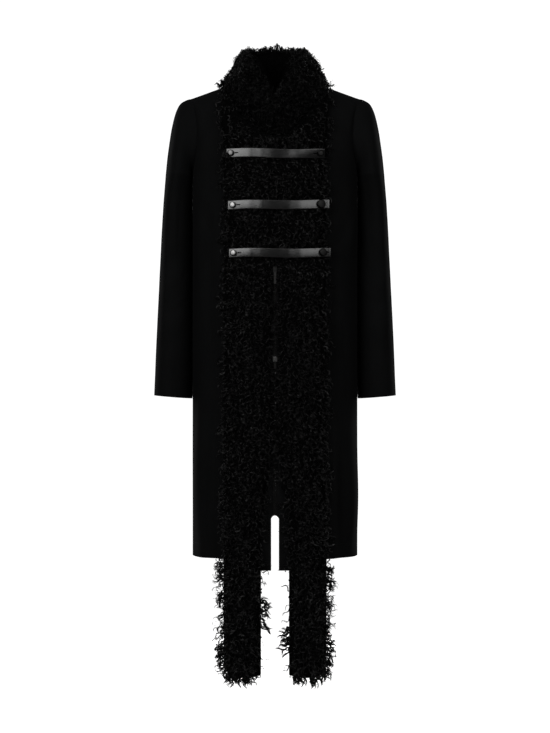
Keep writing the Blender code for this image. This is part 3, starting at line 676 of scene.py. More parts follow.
def frontHit(x, z):
    spots = []
    start = Vector((max(9.0, abs(x)) * (1.0 if x > 0 else -1.0), -400.0, z))
    hit = panels.ray_cast(start, Vector((0, 1, 0)), 420.0)[0]
    if hit:
        spots.append(hit.y)
    if z < -965.0:
        start.x = abs(start.x)
        spots.append(belowHem.ray_cast(start, Vector((0, 1, 0)))[0].y)
    away = Vector((x / body["halfWidth"] ** 2, -0.6 / body["frontDepth"], 0.0))
    if z > body["underarm"]:
        away.z = 0.0045 * smooth(body["underarm"], -20.0, z)
    return Vector((x, min(spots), z)), away.normalized()


def topHeight(x, y):
    start = Vector((x if abs(x) > 1.0 else 1.0, y if abs(y) > 0.6 else 0.6, 300.0))
    return panels.ray_cast(start, Vector((0, 0, -1)))[0].z


# Straps and studs
strapSet = {
    # height, from x, to x, tilt
    "rows": {"upper": (-157.0, -104.0, 106.5, -0.8), "middle": (-266.5, -101.0, 117.0, 1.2),
             "lower": (-369.5, -98.5, 120.0, 0.8)},
    "width": 19.6, "thick": 2.6, "lift": 16.6, "slot": 8.4, "slotRadius": 1.3, "columns": 121, "lines": 11,
    # along the strap, how far it leans down
    "twist": {"upper": ((-104, -85, -50, 10, 40, 75, 106), (0.07, 0.0, 0.0, 0.0, 0.07, 0.17, 0.26)),
              "middle": ((-101, -60, 0, 117), (0.0, 0.02, 0.0, 0.0)),
              "lower": ((-98, -50, 60, 120), (0.0, 0.03, 0.0, 0.02))},
    # place, width, depth
    "bow": {"upper": (10.0, 38.0, 2.2), "middle": (6.0, 40.0, 0.6), "lower": (0.0, 30.0, 0.3)},
    # strap, side, along, radius, slot offset, shade; the shade is a painted reflection, light on the right studs and
    # dark on the left ones
    "studs": (("upper", "right", -94.0, 6.8, 11.5, 0.09), ("upper", "left", 96.8, 6.8, -10.0, 0.014),
              ("middle", "right", -90.0, 6.8, 12.0, 0.22), ("middle", "left", 97.8, 9.4, None, 0.018),
              ("lower", "right", -88.2, 6.8, 12.0, 0.22), ("lower", "left", 101.8, 8.6, 9.6, 0.018)),
    "profile": ((0.62, 0.0), (0.62, 0.8), (0.46, 1.2), (0.42, 1.6), (0.60, 2.0), (0.90, 2.3), (0.98, 2.6),
                (1.0, 3.1), (1.0, 3.9),
                (0.985, 4.7), (0.95, 5.35), (0.89, 5.85), (0.80, 6.15), (0.66, 6.32), (0.45, 6.44),
                (0.22, 6.5), (0.05, 6.52)),
}


def strapPoint(strap, x, lift):
    height, left, right, tilt = strap
    share = (x - left) / (right - left)
    z = height + tilt * (2.0 * share - 1.0) + 1.2 * sin(share * 2.4 * pi)
    under = x
    for _ in range(4):
        levels = [frontHit(under, height + step) for step in (-11.0, 0.0, 11.0)]
        ahead = min(hit.y for hit, _ in levels)
        under = x - levels[1][1].x * lift
    return Vector((x, ahead + levels[1][1].y * lift, z))


def slotCutter(middle, length):
    nothingPicked()
    radius = strapSet["slotRadius"]
    bpy.ops.mesh.primitive_cylinder_add(vertices=20, radius=radius * mm, depth=24 * mm, location=middle * mm,
                                        rotation=(pi / 2, 0.0, 0.0))
    made = bpy.context.object
    bpy.ops.object.transform_apply(location=True, rotation=True, scale=True)
    for vertex in made.data.vertices:
        vertex.co.x += (length / 2 - radius) * mm * (1 if vertex.co.x > middle.x * mm else -1)
    return made


leather = leatherFinish("satin_black_leather")
for title, strap in strapSet["rows"].items():
    spread = np.linspace(strap[1], strap[2], strapSet["columns"])
    downs = np.linspace(-0.5, 0.5, strapSet["lines"]) * strapSet["width"]
    line = [strapPoint(strap, x, strapSet["lift"]) for x in spread]
    near = [strapPoint(strap, x, strapSet["lift"] + strapSet["thick"]) for x in spread]
    # the leather bridges the small steps of the cloth below
    kernel = np.hanning(9) / np.hanning(9).sum()
    backY = np.convolve(np.pad([p.y for p in line], 4, mode="edge"), kernel, "valid")
    faceY = np.convolve(np.pad([p.y for p in near], 4, mode="edge"), kernel, "valid")
    twist = np.interp(spread, *strapSet["twist"][title])
    bowMiddle, bowWidth, bowDepth = strapSet["bow"][title]
    bow = bowDepth * np.exp(-((spread - bowMiddle) / bowWidth) ** 2)
    face, back = np.zeros((2, strapSet["lines"], strapSet["columns"], 3))
    for row, down in enumerate(downs):
        crown = 0.35 * (1 - (2 * down / strapSet["width"]) ** 2)
        wave = 0.5 * np.sin(spread / 17.0 + 1.3 * len(title)) * np.sin(spread / 41.0)
        turned = wave * 0.5 - twist * down - bow
        face[row] = np.stack([spread, faceY - crown + turned, [p.z + down for p in line]], axis=1)
        back[row] = np.stack([spread, backY - crown + turned, [p.z + down for p in line]], axis=1)
    made = gridPiece("leather_strap_" + title, face, thick=back)
    roundEdges(made, 0.0008, 3, 50)
    for owner, side, along, radius, offset, shade in strapSet["studs"]:
        if owner == title and offset:
            tool = slotCutter(strapPoint(strap, along + offset, strapSet["lift"]), strapSet["slot"])
            addModifier(made, "BOOLEAN", object=tool, operation="DIFFERENCE", solver="EXACT")
            bpy.data.objects.remove(tool, do_unlink=True)
    finishPiece(made, (leather,), ("strap_" + title,), 35.0)


def stud(name, middle, away, radius, material):
    nothingPicked()
    profile = strapSet["profile"]
    bpy.ops.mesh.primitive_circle_add(vertices=36, radius=profile[0][0] * radius * mm, fill_type="NGON",
                                      location=(0, 0, 0))
    piece = bpy.context.object
    piece.name = piece.data.name = name
    bpy.ops.object.mode_set(mode="EDIT")
    bpy.ops.mesh.select_all(action="SELECT")
    for (low, start), (high, end) in zip(profile, profile[1:]):
        bpy.ops.mesh.extrude_region_move(TRANSFORM_OT_translate={"value": (0, 0, (end - start) * mm)})
        if high != low:
            bpy.ops.transform.resize(value=(high / low, high / low, 1.0), center_override=(0, 0, end * mm))
    bpy.ops.mesh.select_all(action="SELECT")
    bpy.ops.mesh.normals_make_consistent(inside=False)
    bpy.ops.object.mode_set(mode="OBJECT")
    turner = away.to_track_quat("Z", "Y")
    for vertex in piece.data.vertices:
        vertex.co = middle * mm + turner @ vertex.co
    finishPiece(piece, (material,), (), 35.0)
    return piece


for owner, side, along, radius, offset, shade in strapSet["studs"]:
    strap = strapSet["rows"][owner]
    spot = strapPoint(strap, along, strapSet["lift"] + strapSet["thick"])
    ahead = strapPoint(strap, along + 1.0, strapSet["lift"] + strapSet["thick"]) - spot
    away = Vector((ahead.y, -ahead.x, 0.0)).normalized()
    name = "stud_%s_%s" % (owner, side)
    # all studs are one metal; each stud's shade paints the reflection it shows, light on the right, dark on the left
    metal = metalFinish("metal_" + name, shade, 0.22 if shade > 0.05 else 0.36)
    made = stud("domed_" + name, spot + away * 0.5, away, radius, metal)
    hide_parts(name)
print("coat: straps and studs")

# Zip: woven tapes, a tooth copied down both edges, sliders and pulls of the frame
zipSet = {"tape": 14.0, "thick": 0.9, "top": -392.0, "slitTop": -930.5, "slitEdge": 8.2, "flat": (0.0138, 0.547),
          "rows": 120, "columns": 6, "pitch": 2.3, "shut": (-404.0, -596.0), "tooth": (2.5, 1.9, 1.25)}
tapeLook = tapeFinish("woven_zip_tape")
steel = metalFinish("zip_gunmetal", 0.035, 0.42)
# the lower slider's pale metal is a painted glint; the upper slider and the teeth keep the dark gunmetal
zipMetals = {"slider_upper": steel, "slider_lower": metalFinish("zip_slider_painted_glint", 0.75, 0.16),
             "pull_upper": metalFinish("zip_pull_nickel", 0.075, 0.3),
             # the lower pull's darker metal is a painted shade, where the fur hides it
             "pull_lower": metalFinish("zip_pull_painted_shade", 0.03, 0.34)}
for side, hand in (("left", 1), ("right", -1)):
    face, back = np.zeros((2, zipSet["rows"] + 1, zipSet["columns"] + 1, 3))
    for row in range(zipSet["rows"] + 1):
        for column in range(zipSet["columns"] + 1):
            across = column / zipSet["columns"]
            x = mix(0.25, zipSet["tape"], across)
            foot = -zipSet["slitEdge"] + sqrt(max(0.0, zipSet["slitEdge"] ** 2 - min(x, zipSet["slitEdge"]) ** 2))
            z = mix(zipSet["slitTop"] + foot, zipSet["top"], row / zipSet["rows"])
            y = frontHit(x, z)[0].y + body["cloth"] + 0.9
            # low down the left tape laps behind the right one
            lap = smooth(-868.0, -892.0, z) * (1.0 - across) if hand > 0 else 0.0
            x, y = x - 0.9 * lap, y + 1.1 * lap
            face[row, column] = hand * x, y, z
            back[row, column] = hand * x, y + zipSet["thick"], z
    made = gridPiece("woven_zip_tape_" + side, face, thick=back)
    finishPiece(made, (tapeLook,), ("zip_tape_" + side,))


def shapeOf(piece):
    # A modelled piece as corner places and triangles, to be copied many times
    editAll(piece, lambda: bpy.ops.mesh.quads_convert_to_tris())
    places = np.array([vertex.co[:] for vertex in piece.data.vertices])
    triangles = np.array([face.vertices[:] for face in piece.data.polygons])
    bpy.data.objects.remove(piece, do_unlink=True)
    return places, triangles


def joinedPiece(name, points, quads, triangles, cornerUv=None, tone=None):
    mesh = bpy.data.meshes.new(name)
    mesh.vertices.add(len(points))
    mesh.vertices.foreach_set("co", points.ravel())
    corners = np.concatenate([quads.ravel(), triangles.ravel()]).astype(np.int32)
    starts = np.arange(len(quads)) * 4, len(quads) * 4 + np.arange(len(triangles)) * 3
    starts = np.concatenate(starts).astype(np.int32)
    mesh.loops.add(len(corners))
    mesh.loops.foreach_set("vertex_index", corners)
    mesh.polygons.add(len(starts))
    mesh.polygons.foreach_set("loop_start", starts)
    mesh.update(calc_edges=True)
    if cornerUv is not None:
        mesh.uv_layers.new(name="UVMap").data.foreach_set("uv", cornerUv.astype(np.float32).ravel())
    if tone is not None:
        mesh.attributes.new("tone", "FLOAT", "POINT").data.foreach_set("value", tone.astype(np.float32))
    piece = bpy.data.objects.new(name, mesh)
    bpy.context.scene.collection.objects.link(piece)
    return piece


def copiesOf(name, shape, places, frames):
    # places are the copies' centres, frames their own three axes as rows
    corners, triangles = shape
    points = places[:, None, :] + np.einsum("vk,nkj->nvj", corners, frames)
    faces = triangles[None] + (np.arange(len(places)) * len(corners))[:, None, None]
    return joinedPiece(name, points.reshape(-1, 3), np.zeros((0, 4), int), faces.reshape(-1, 3))


nothingPicked()
bpy.ops.mesh.primitive_cube_add(size=1.0, location=(0, 0, 0))
tooth = bpy.context.object
for vertex in tooth.data.vertices:
    vertex.co = [c * s * mm for c, s in zip(vertex.co, zipSet["tooth"])]
editAll(tooth, lambda: bpy.ops.mesh.bevel(offset=0.0003, segments=1, affect="EDGES"))
spots = []
high, low = zipSet["shut"]
for hand in (1, -1):
    for step in range(int((zipSet["top"] - zipSet["slitTop"] - 4.0) / zipSet["pitch"])):
        z = zipSet["top"] - 2.0 - (step + (0.5 if hand > 0 else 0.0)) * zipSet["pitch"]
        apart = 0.75 + 1.0 * (1.0 - smooth(low - 10.0, low, z) * smooth(high + 8.0, high, z))
        spots.append((hand * apart, frontHit(9.0 * hand, z)[0].y + body["cloth"] + 0.55, z))
chain = copiesOf("zip_teeth", shapeOf(tooth), np.array(spots) * mm, np.broadcast_to(np.eye(3), (len(spots), 3, 3)))
finishPiece(chain, (steel,), (), 30.0)
for name, finish in zipMetals.items():
    dress(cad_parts["zip_" + name], finish)
print("coat: zip")

# Hem, cuff and slit stitches, each a seed-shaped stitch
stitching = {"pitch": 4.8, "size": (3.3, 0.5, 0.35), "hem": 30.0, "cuff": 34.0, "edge": 6.5,
             "edgeTop": {"front": -620.0, "back": -915.0}}
nothingPicked()
bpy.ops.mesh.primitive_ico_sphere_add(subdivisions=1, radius=0.5, location=(0, 0, 0))
seed = bpy.context.object
for vertex in seed.data.vertices:
    vertex.co = [c * s * mm for c, s in zip(vertex.co, stitching["size"])]
stitchShape = shapeOf(seed)
stitchPlaces, stitchFrames = [], []


def sewAlong(points, normals):
    lengths = np.concatenate([[0.0], np.cumsum(np.linalg.norm(np.diff(points, axis=0), axis=1))])
    marks = np.arange(2.0, lengths[-1] - 2.0, stitching["pitch"])

    def read(places, table):
        return np.stack([np.interp(places, lengths, table[:, n]) for n in range(3)], axis=1)

    spot, up = read(marks, points), unit(read(marks, normals))
    along = unit(read(marks + 0.5, points) - spot)
    stitchPlaces.append((spot + up * 0.08) * mm)
    stitchFrames.append(np.stack([along, np.cross(up, along), up], axis=1))


def lineAt(face, normals, far):
    # The line a given way in from the first row
    steps = np.linalg.norm(np.diff(face, axis=0), axis=2)
    gone = np.concatenate([np.zeros((1, face.shape[1])), np.cumsum(steps, axis=0)])
    rows = np.arange(len(face))
    place = [np.interp(far, gone[:, c], rows) for c in range(face.shape[1])]
    pick = [(int(p), p - int(p)) for p in place]
    return [np.array([mix(what[n, c], what[n + 1, c], s) for c, (n, s) in enumerate(pick)])
            for what in (face, normals)]


for (title, side), (face, normals) in panelFaces.items():
    if title == "sleeve":
        sewAlong(*lineAt(face[::-1], normals[::-1], stitching["cuff"]))
        continue
    sewAlong(*lineAt(face, normals, stitching["hem"]))
    if abs(face[0, 0, 0]) > abs(face[0, -1, 0]):
        face, normals = face[:, ::-1], normals[:, ::-1]
    points, ups = lineAt(face.transpose(1, 0, 2), normals.transpose(1, 0, 2), stitching["edge"])
    kept = points[:, 2] < stitching["edgeTop"][title]
    sewAlong(points[kept], ups[kept])
sewn = copiesOf("hem_stitches", stitchShape, np.concatenate(stitchPlaces), np.concatenate(stitchFrames))
finishPiece(sewn, (liningFinish("black_sewing_thread"),), (), 40.0)
print("coat: stitches", len(sewn.data.polygons))

# Fur: a dense dark underfur on each solid's form, and curly locks rooted in it
fur = {
    "gap": 1.5, "bandEnd": -1277.0, "pile": 27.0, "strapPile": 12.5, "collarSteps": 144, "collarLean": 0.20, "fan": 6,
    "bandUnder": 0.60, "collarUnder": 10.5,
    "bandGrid": (14, 102), "collarGrid": (16, 84), "steps": 13, "strands": 4,
    "length": (26.0, 46.0), "curl": (3.2, 5.8), "turns": (1.5, 2.5), "thick": (1.3, 2.4), "wisps": 0.4,
    # x, z, towards x and z, locks, half width, half height, length, rise: over a strap, then round the tails
    "tufts": {-1: ((-96, -171, 0.2, 1.0, 8, 6, 2, 19, 14), (-104, -1034, -1.0, -0.8, 9, 2, 7, 25, 5),
                   (-103, -1060, -1.0, -0.2, 9, 2, 9, 27, 5),
                   (-103, -1108, -1.0, -0.6, 9, 2, 12, 21, 5), (-30, -1118, 1.0, -0.1, 8, 2, 12, 29, 4),
                   (-30, -1150, 1.0, -0.9, 6, 2, 9, 33, 4),
                   (-103, -1160, -1.0, -1.2, 6, 2, 22, 16, 5), (-103, -1212, -1.0, -0.3, 12, 2, 13, 25, 5),
                   (-104, -1250, -1.0, -0.6, 7, 3, 12, 24, 5),
                   (-30, -1134, 1.0, -0.5, 7, 2, 8, 27, 4),
                   (-70, -1271, 0.1, -1.0, 11, 16, 3, 29, 3), (-92, -1268, -0.3, -1.0, 9, 8, 4, 27, 3),
                   (-46, -1273, 0.1, -1.0, 9, 10, 3, 21, 3)),
              1: ((82, -284, 0.4, 1.0, 5, 3, 2, 15, 14), (104, -1038, 1.0, -0.8, 9, 2, 8, 24, 5),
                  (103, -1072, 1.0, -0.5, 10, 2, 9, 29, 5),
                  (103, -1120, 1.0, -0.6, 9, 2, 16, 20, 5), (30, -1178, -1.0, -0.1, 8, 2, 12, 27, 4),
                  (30, -1206, -1.0, -0.9, 6, 2, 9, 31, 4),
                  (103, -1168, 1.0, -1.1, 7, 2, 20, 17, 5), (103, -1214, 1.0, -0.3, 12, 2, 14, 25, 5),
                  (104, -1252, 1.0, -0.6, 7, 3, 12, 22, 5),
                  (30, -1190, -1.0, -0.5, 7, 2, 8, 26, 4),
                  (72, -1271, 0.1, -1.0, 11, 16, 3, 29, 3), (94, -1268, 0.3, -1.0, 9, 8, 4, 27, 3),
                  (46, -1273, -0.1, -1.0, 9, 10, 3, 21, 3))},
    "tuftStrands": 9, "collarPaintedShade": 0.8, "crownHairs": 120,
    "crown": {-1: ((-66, 6, 6), (-54, 5, 5), (-42, 4, 5), (-24, 9, 7),
                   (-10, 9, 6)),  # x, height over the edge, locks
              1: ((3, 17, 8), (13, 10, 6), (25, 5, 5), (38, 8, 6), (52, 6, 6), (60, 4, 4))},
}


def collarTop(turn):
    heights = ((0.0, -12.0), (12.0, 14.0), (26.0, 50.0), (45.0, 70.0), (75.0, 80.0), (110.0, 87.0), (180.0, 95.0))
    return eased(heights, abs(turn) * 180 / pi, 1)


def collarReach(turn):
    return (26.0 if cos(turn) > 0 else 30.0) + 15.0 * sin(abs(turn)) ** 2


def collarSection(turn):
    x, y, z = neckCurve(abs(turn))
    x = x if turn > 0 else -x
    ahead = Vector((x, y, 0.0))
    away = Vector((x / body["neckPoint"][0] ** 2, y / 80.0 ** 2, 0.0)).normalized()
    base, top, reach = z + 3.0, collarTop(turn), collarReach(turn)
    lump = 2.2 * sin(turn * 5.0 + 0.6) + 1.6 * sin(turn * 9.0 + 1.9)

    def at(up, out):
        lean = 1.0 - fur["collarLean"] * up
        return Vector((ahead.x * lean, ahead.y * lean, mix(base, top, up))) + away * out

    rim = ((0.0, -1.0), (0.35, -1.5), (0.7, -1.5), (0.93, 0.5), (1.0, 9.0), (0.96, 18.0 + 0.3 * lump),
           (0.74, 24.5 + lump), (0.45, mix(28.0, reach * 0.8, 0.5) + lump), (0.18, reach * 0.88 + 0.6 * lump))
    points = [at(up, out) for up, out in rim]
    for share in (1.0, 0.75, 0.5, 0.25):
        spot = ahead + away * (reach * share)
        spot.z = topHeight(spot.x, spot.y) + 4.6
        points.append(spot)
    return points


def roundTrip(points, finer):
    # A closed curve through the points, finer steps between each pair
    ring = np.array(points)
    made = []
    for n in range(len(ring)):
        a, b, c, d = ring[n - 1], ring[n], ring[(n + 1) % len(ring)], ring[(n + 2) % len(ring)]
        for k in range(finer):
            t = k / finer
            square, cube = (2 * a - 5 * b + 4 * c - d) * t ** 2, (3 * b - a - 3 * c + d) * t ** 3
            made.append(0.5 * ((2 * b) + (c - a) * t + square + cube))
    return np.array(made + made[:1])


def collarPoints():
    rings = []
    for step in range(fur["collarSteps"] + 1):
        share = 2.0 * step / fur["collarSteps"] - 1.0
        turn = min(pi - 0.030, max(0.024, pi * (1.0 - abs(share))))
        ring = roundTrip([tuple(p) for p in collarSection(turn if share > 0 else -turn)], 4)
        if abs(share) < 1e-6:
            ring[:, 0] = 0.0
        rings.append(ring)
    return np.array(rings)


collarLine = []
for step in range(60):
    turn = 0.03 + step * 0.0262
    x, y, z = neckCurve(turn)
    away = Vector((x / body["neckPoint"][0] ** 2, y / 80.0 ** 2, 0.0)).normalized()
    spot = Vector((x, y, 0.0)) + away * collarReach(turn)
    collarLine.append((spot.x, topHeight(spot.x, spot.y)))


def bandInner(z):
    edge = 2.6 + 5.2 * smooth(-372.0, -396.0, z) * smooth(-640.0, -616.0, z)
    return between(((-1300.0, 29.5), (-960.0, 29.5), (-930.0, 28.5), (-895.0, 22.0), (-830.0, 12.0),
                   (-775.0, edge), (0.0, edge)), z, 1)


def bandOuter(z):
    return between(((-1300.0, 107.0), (-1000.0, 107.5), (-600.0, 106.0), (-300.0, 105.5), (-150.0, 107.0),
                   (-80.0, 110.0), (-30.0, 114.0), (0.0, 116.0)), z, 1)


def pileAt(share, x, z, hand):
    edge = (max(0.0, sin(pi * min(1.0, max(0.0, share))))) ** 0.45
    lumps = 2.4 * sin(z / 21.0 + hand) * sin(x / 15.0) + 1.8 * sin(z / 11.0 + x / 9.0)
    depth = 7.0 + (fur["pile"] - 7.0) * edge + lumps * edge
    for height, _, _, _ in strapSet["rows"].values():
        near = 1.0 - smooth(11.0, 25.0, abs(z - height))
        depth = mix(depth, min(depth, fur["strapPile"]), near)
    return depth


def bandLevels():
    levels = [fur["bandEnd"], fur["bandEnd"] + 5.0, fur["bandEnd"] + 20.0]
    heights = sorted(row[0] for row in strapSet["rows"].values())
    while levels[-1] < heights[0] - 50.0:
        levels.append(levels[-1] + 31.0)
    for height in heights:
        gap = height - 24.0 - levels[-1]
        if gap > 34.0:
            levels.append(levels[-1] + gap / 2)
        levels += [height + step for step in (-24.0, -14.5, 0.0, 14.5, 24.0)]
    return levels


def bandPoints(hand):
    # Skin and outer face of one fur band, on a fine grid
    levels = bandLevels()
    count = len(levels)
    columns, finer = 28, 5
    skin, face = [], []
    for row in np.linspace(0.0, count + fur["fan"] - 1, (count + fur["fan"] - 1) * finer + 1):
        skinLine, faceLine = [], []
        level = float(np.interp(row, np.arange(count), levels))
        rise = max(0.0, row - (count - 1)) / fur["fan"]
        for column in range(columns + 1):
            across = column / columns
            outer = bandOuter(level if rise == 0.0 else mix(level, -20.0, rise))
            x, z = mix(bandInner(level), outer, across), level
            if rise > 0.0:
                z = mix(level, between(collarLine, abs(x), 1) - 4.0, rise)
            else:
                lift = (22.0 if across > 0.5 else 8.0) * abs(2.0 * across - 1.0) ** 3
                z += lift * (1.0 - smooth(fur["bandEnd"], fur["bandEnd"] + 60.0, level))
            hit, normal = frontHit(hand * x, z)
            bump = pileAt(across, x, z, hand) * mix(0.45, 1.0, smooth(0.0, 1.0, row))
            gap = fur["gap"] + 3.2 * smooth(strapSet["rows"]["upper"][0] + 14.0, -80.0, z)
            skinLine.append(hit + normal * gap)
            faceLine.append(hit + normal * (gap + bump))
        skin.append(skinLine)
        face.append(faceLine)
    skin, face = np.array(skin), np.array(face)
    return (skin, face) if hand > 0 else (skin[:, ::-1], face[:, ::-1])


def fuzz(points, size, depth):
    # Smooth lumps the size of curls, without any random numbers
    x, y, z = points[..., 0] / size, points[..., 1] / size, points[..., 2] / size
    large = np.sin(2.1 * x + 1.3 * np.sin(1.7 * z)) * np.sin(1.9 * z + 1.1 * np.sin(2.3 * x + y))
    return depth * (large + 0.5 * np.sin(4.3 * z + 3.1 * x + y))


def sampleGrid(points, rows, columns):
    # Bilinear values at fractional rows and columns
    row = np.clip(rows, 0, points.shape[0] - 1.001)
    column = np.clip(columns, 0, points.shape[1] - 1.001)
    r, c = row.astype(int), column.astype(int)
    dr, dc = (row - r)[:, None], (column - c)[:, None]
    return mix(mix(points[r, c], points[r, c + 1], dc), mix(points[r + 1, c], points[r + 1, c + 1], dc), dr)


def growLocks(root, out, down, length, rise, curl, turns, thick, strands, loose, dice, high=None):
    # Each lock leaves its root, lies over and curls down as a few flat tapering strands
    count, steps = len(root), fur["steps"]
    t = np.linspace(0.0, 1.0, steps)[None, :, None]
    side = unit(np.cross(out, down))
    across = side[:, None]
    up, along = out[:, None], down[:, None]

    def size(values):
        return values[:, None, None]

    radius = size(curl) * smooth(0.0, 0.28, t) * (1.0 - 0.3 * t)
    spin = size(np.where(dice.random(count) < 0.5, -1.0, 1.0))
    phase = size(dice.uniform(0.0, 2 * pi, count)) + spin * size(turns) * 2 * pi * t ** 1.1
    path = root[:, None] + up * (size(rise) * (1.0 - (1.0 - t) ** 3) - size(rise) * 0.35 * t ** 2)
    path = path + along * size(length) * t + up * radius * np.cos(phase) + across * radius * np.sin(phase)
    if high is not None:
        path = path - up * pressed(path, root, out, high)[..., None]
    points, tones, shifts = [], [], []
    lockTone = 0.62 * dice.random(count) + 0.38 * (0.5 + 0.5 * clumps(root))
    for strand in range(strands):
        # strands of one lock wander a little off its path and part towards the tip
        drift = dice.normal(0.0, 1.0, (count, 3))[:, None] * (0.5 + 1.5 * t) * loose
        ripple = across * np.sin(phase * 1.7 + strand * 1.9) * 0.35 + up * np.cos(phase * 1.3 + strand * 2.3) * 0.3
        line = path + drift + ripple * smooth(0.0, 0.3, t)
        ahead = unit(np.gradient(line, axis=1))
        guide = unit(np.cross(ahead[:, 0], out) + 0.6 * dice.normal(0.0, 1.0, (count, 3)))
        edges = []
        wide = thick * dice.uniform(0.75, 1.25, count) / 2
        for step in range(steps):
            guide = unit(guide - ahead[:, step] * (guide * ahead[:, step]).sum(axis=1, keepdims=True))
            share = step / (steps - 1)
            half = (wide * (0.6 + 0.4 * smooth(0.0, 0.25, share)) * (1.0 - 0.88 * share ** 2.2))[:, None]
            edges.append(np.stack([line[:, step] - guide * half, line[:, step] + guide * half], axis=1))
        points.append(np.stack(edges, axis=1))
        tones.append(np.clip(lockTone + dice.normal(0.0, 0.12, count), 0.0, 1.0))
        shifts.append(dice.uniform(0.0, 8.0, count))
    points = np.concatenate(points)  # strand, step, edge, place
    many = len(points)
    first = (np.arange(many) * steps * 2)[:, None] + (np.arange(steps - 1) * 2)[None]
    quads = np.stack([first, first + 1, first + 3, first + 2], axis=-1).reshape(-1, 4)
    long = np.tile(length, strands)[:, None]
    v = np.arange(steps - 1)[None] * long / 1000.0 / (steps - 1)
    climb = np.broadcast_to(long / 1000.0 / (steps - 1), v.shape)
    shift = np.broadcast_to(np.concatenate(shifts)[:, None], v.shape)
    corners = (0.0, 0.0), (0.33, 0.0), (0.33, 1.0), (0.0, 1.0)
    cornerUv = np.stack([np.stack([shift + du, v + dv * climb], axis=-1) for du, dv in corners], axis=2)
    return {"points": points.reshape(-1, 3), "quads": quads, "uv": cornerUv.reshape(-1, 2),
            "tone": np.repeat(np.concatenate(tones), steps * 2)}


def furPiece(name, batches, material, stands):
    starts = np.cumsum([0] + [len(batch["points"]) for batch in batches])
    quads = np.concatenate([batch["quads"] + start for batch, start in zip(batches, starts)])
    points, cornerUv, tone = (np.concatenate([batch[part] for batch in batches]) for part in ("points", "uv", "tone"))
    made = joinedPiece(name, points * mm, quads, np.zeros((0, 3), int), cornerUv, tone)
    finishPiece(made, (material,), stands, 180.0)
    print("coat:", name, len(quads) * 2, "triangles")
    return made


def turnedDown(out, down, angle):
    # down, square to out, turned about out
    flat = unit(down - out * (down * out).sum(axis=1, keepdims=True))
    side = np.cross(out, flat)
    return flat * np.cos(angle)[:, None] + side * np.sin(angle)[:, None]


def swirl(points):
    x, z = points[:, 0], points[:, 2]
    return 0.5 * np.sin(x / 17.0 + z / 23.0) + 0.4 * np.sin(z / 11.0 - x / 29.0)


def clumps(points):
    # -1 to 1, the size of a handful of curls
    x, z = points[:, 0] + 0.6 * points[:, 1], points[:, 2]
    large = np.sin(x / 13.0 + 1.4 * np.sin(z / 19.0)) * np.sin(z / 10.5 + 1.2 * np.sin(x / 23.0))
    return np.clip(large + 0.5 * np.sin(x / 7.0 - z / 6.1), -1.0, 1.0)


def pressed(path, root, out, high):
    # How far locks rooted high over the skin are pressed down where a strap crosses them
    heights = np.array([row[0] for row in strapSet["rows"].values()])
    near = np.min(np.abs(path[..., 2][..., None] - heights), axis=-1)
    roof = mix(strapSet["lift"] - 4.4, 60.0, smooth(12.0, 20.0, near))
    # and they are parted where the upper pull swings up
    across, z = np.abs(path[..., 0]), path[..., 2]
    lane = smooth(10.0, 6.5, across) * smooth(-414.0, -407.0, z) * smooth(-370.0, -376.0, z)
    roof = np.minimum(roof, mix(60.0, 1.0 + 0.75 * np.maximum(0.0, z + 402.5), lane))
    lifted = high[:, None] + ((path - root[:, None]) * out[:, None]).sum(axis=-1)
    return np.maximum(0.0, lifted - roof)


bandCurls, collarCurls, underfur = (furFinish("curly_lamb_" + part, shine) for part, shine in
                                    (("locks", 0.37), ("collar_locks", 0.19), ("underfur", 0.03)))
collar = collarPoints()
collarNormals = normalsOf(collar, True)
middleOf = collar[:, :-1].mean(axis=1, keepdims=True)
if (collarNormals * (collar - middleOf)).sum() < 0:
    collarNormals = -collarNormals
where = np.arange(collar.shape[1]) / 4.0  # place round the section, in its own points
furry = smooth(3.0, 4.4, where) * (1.0 - smooth(9.2, 10.2, where))
under = collar - collarNormals * (fur["collarUnder"] * furry)[None, :, None]
under = under + collarNormals * (fuzz(under, 4.2, 1.1) * furry[None, :])[..., None]
under[..., 2] -= 9.0 * smooth(58.0, 74.0, np.abs(under[..., 0])) * smooth(55.0, 80.0, under[..., 2]) * furry[None, :]
order = under if (normalsOf(under, True) * collarNormals).sum() > 0 else under[:, ::-1]
collarUnder = gridPiece("collar_underfur", order, wrap=True)
for end in (0, -1):  # its two ends are closed
    pickOnly(collarUnder)
    bpy.ops.object.mode_set(mode="EDIT")
    bpy.ops.mesh.select_all(action="DESELECT")
    bpy.ops.object.mode_set(mode="OBJECT")
    edge = order[end] * mm
    for vertex in collarUnder.data.vertices:
        vertex.select = bool(np.min(np.abs(edge - np.array(vertex.co)).sum(axis=1)) < 1e-5)
    bpy.ops.object.mode_set(mode="EDIT")
    bpy.ops.mesh.select_mode(type="VERT")
    bpy.ops.mesh.edge_face_add()
    bpy.ops.object.mode_set(mode="OBJECT")
editAll(collarUnder, lambda: bpy.ops.mesh.normals_make_consistent(inside=False))
finishPiece(collarUnder, (underfur,), ("fur_collar",), 60.0)


goldenShare = 0.6180339887  # spreads the roots evenly across


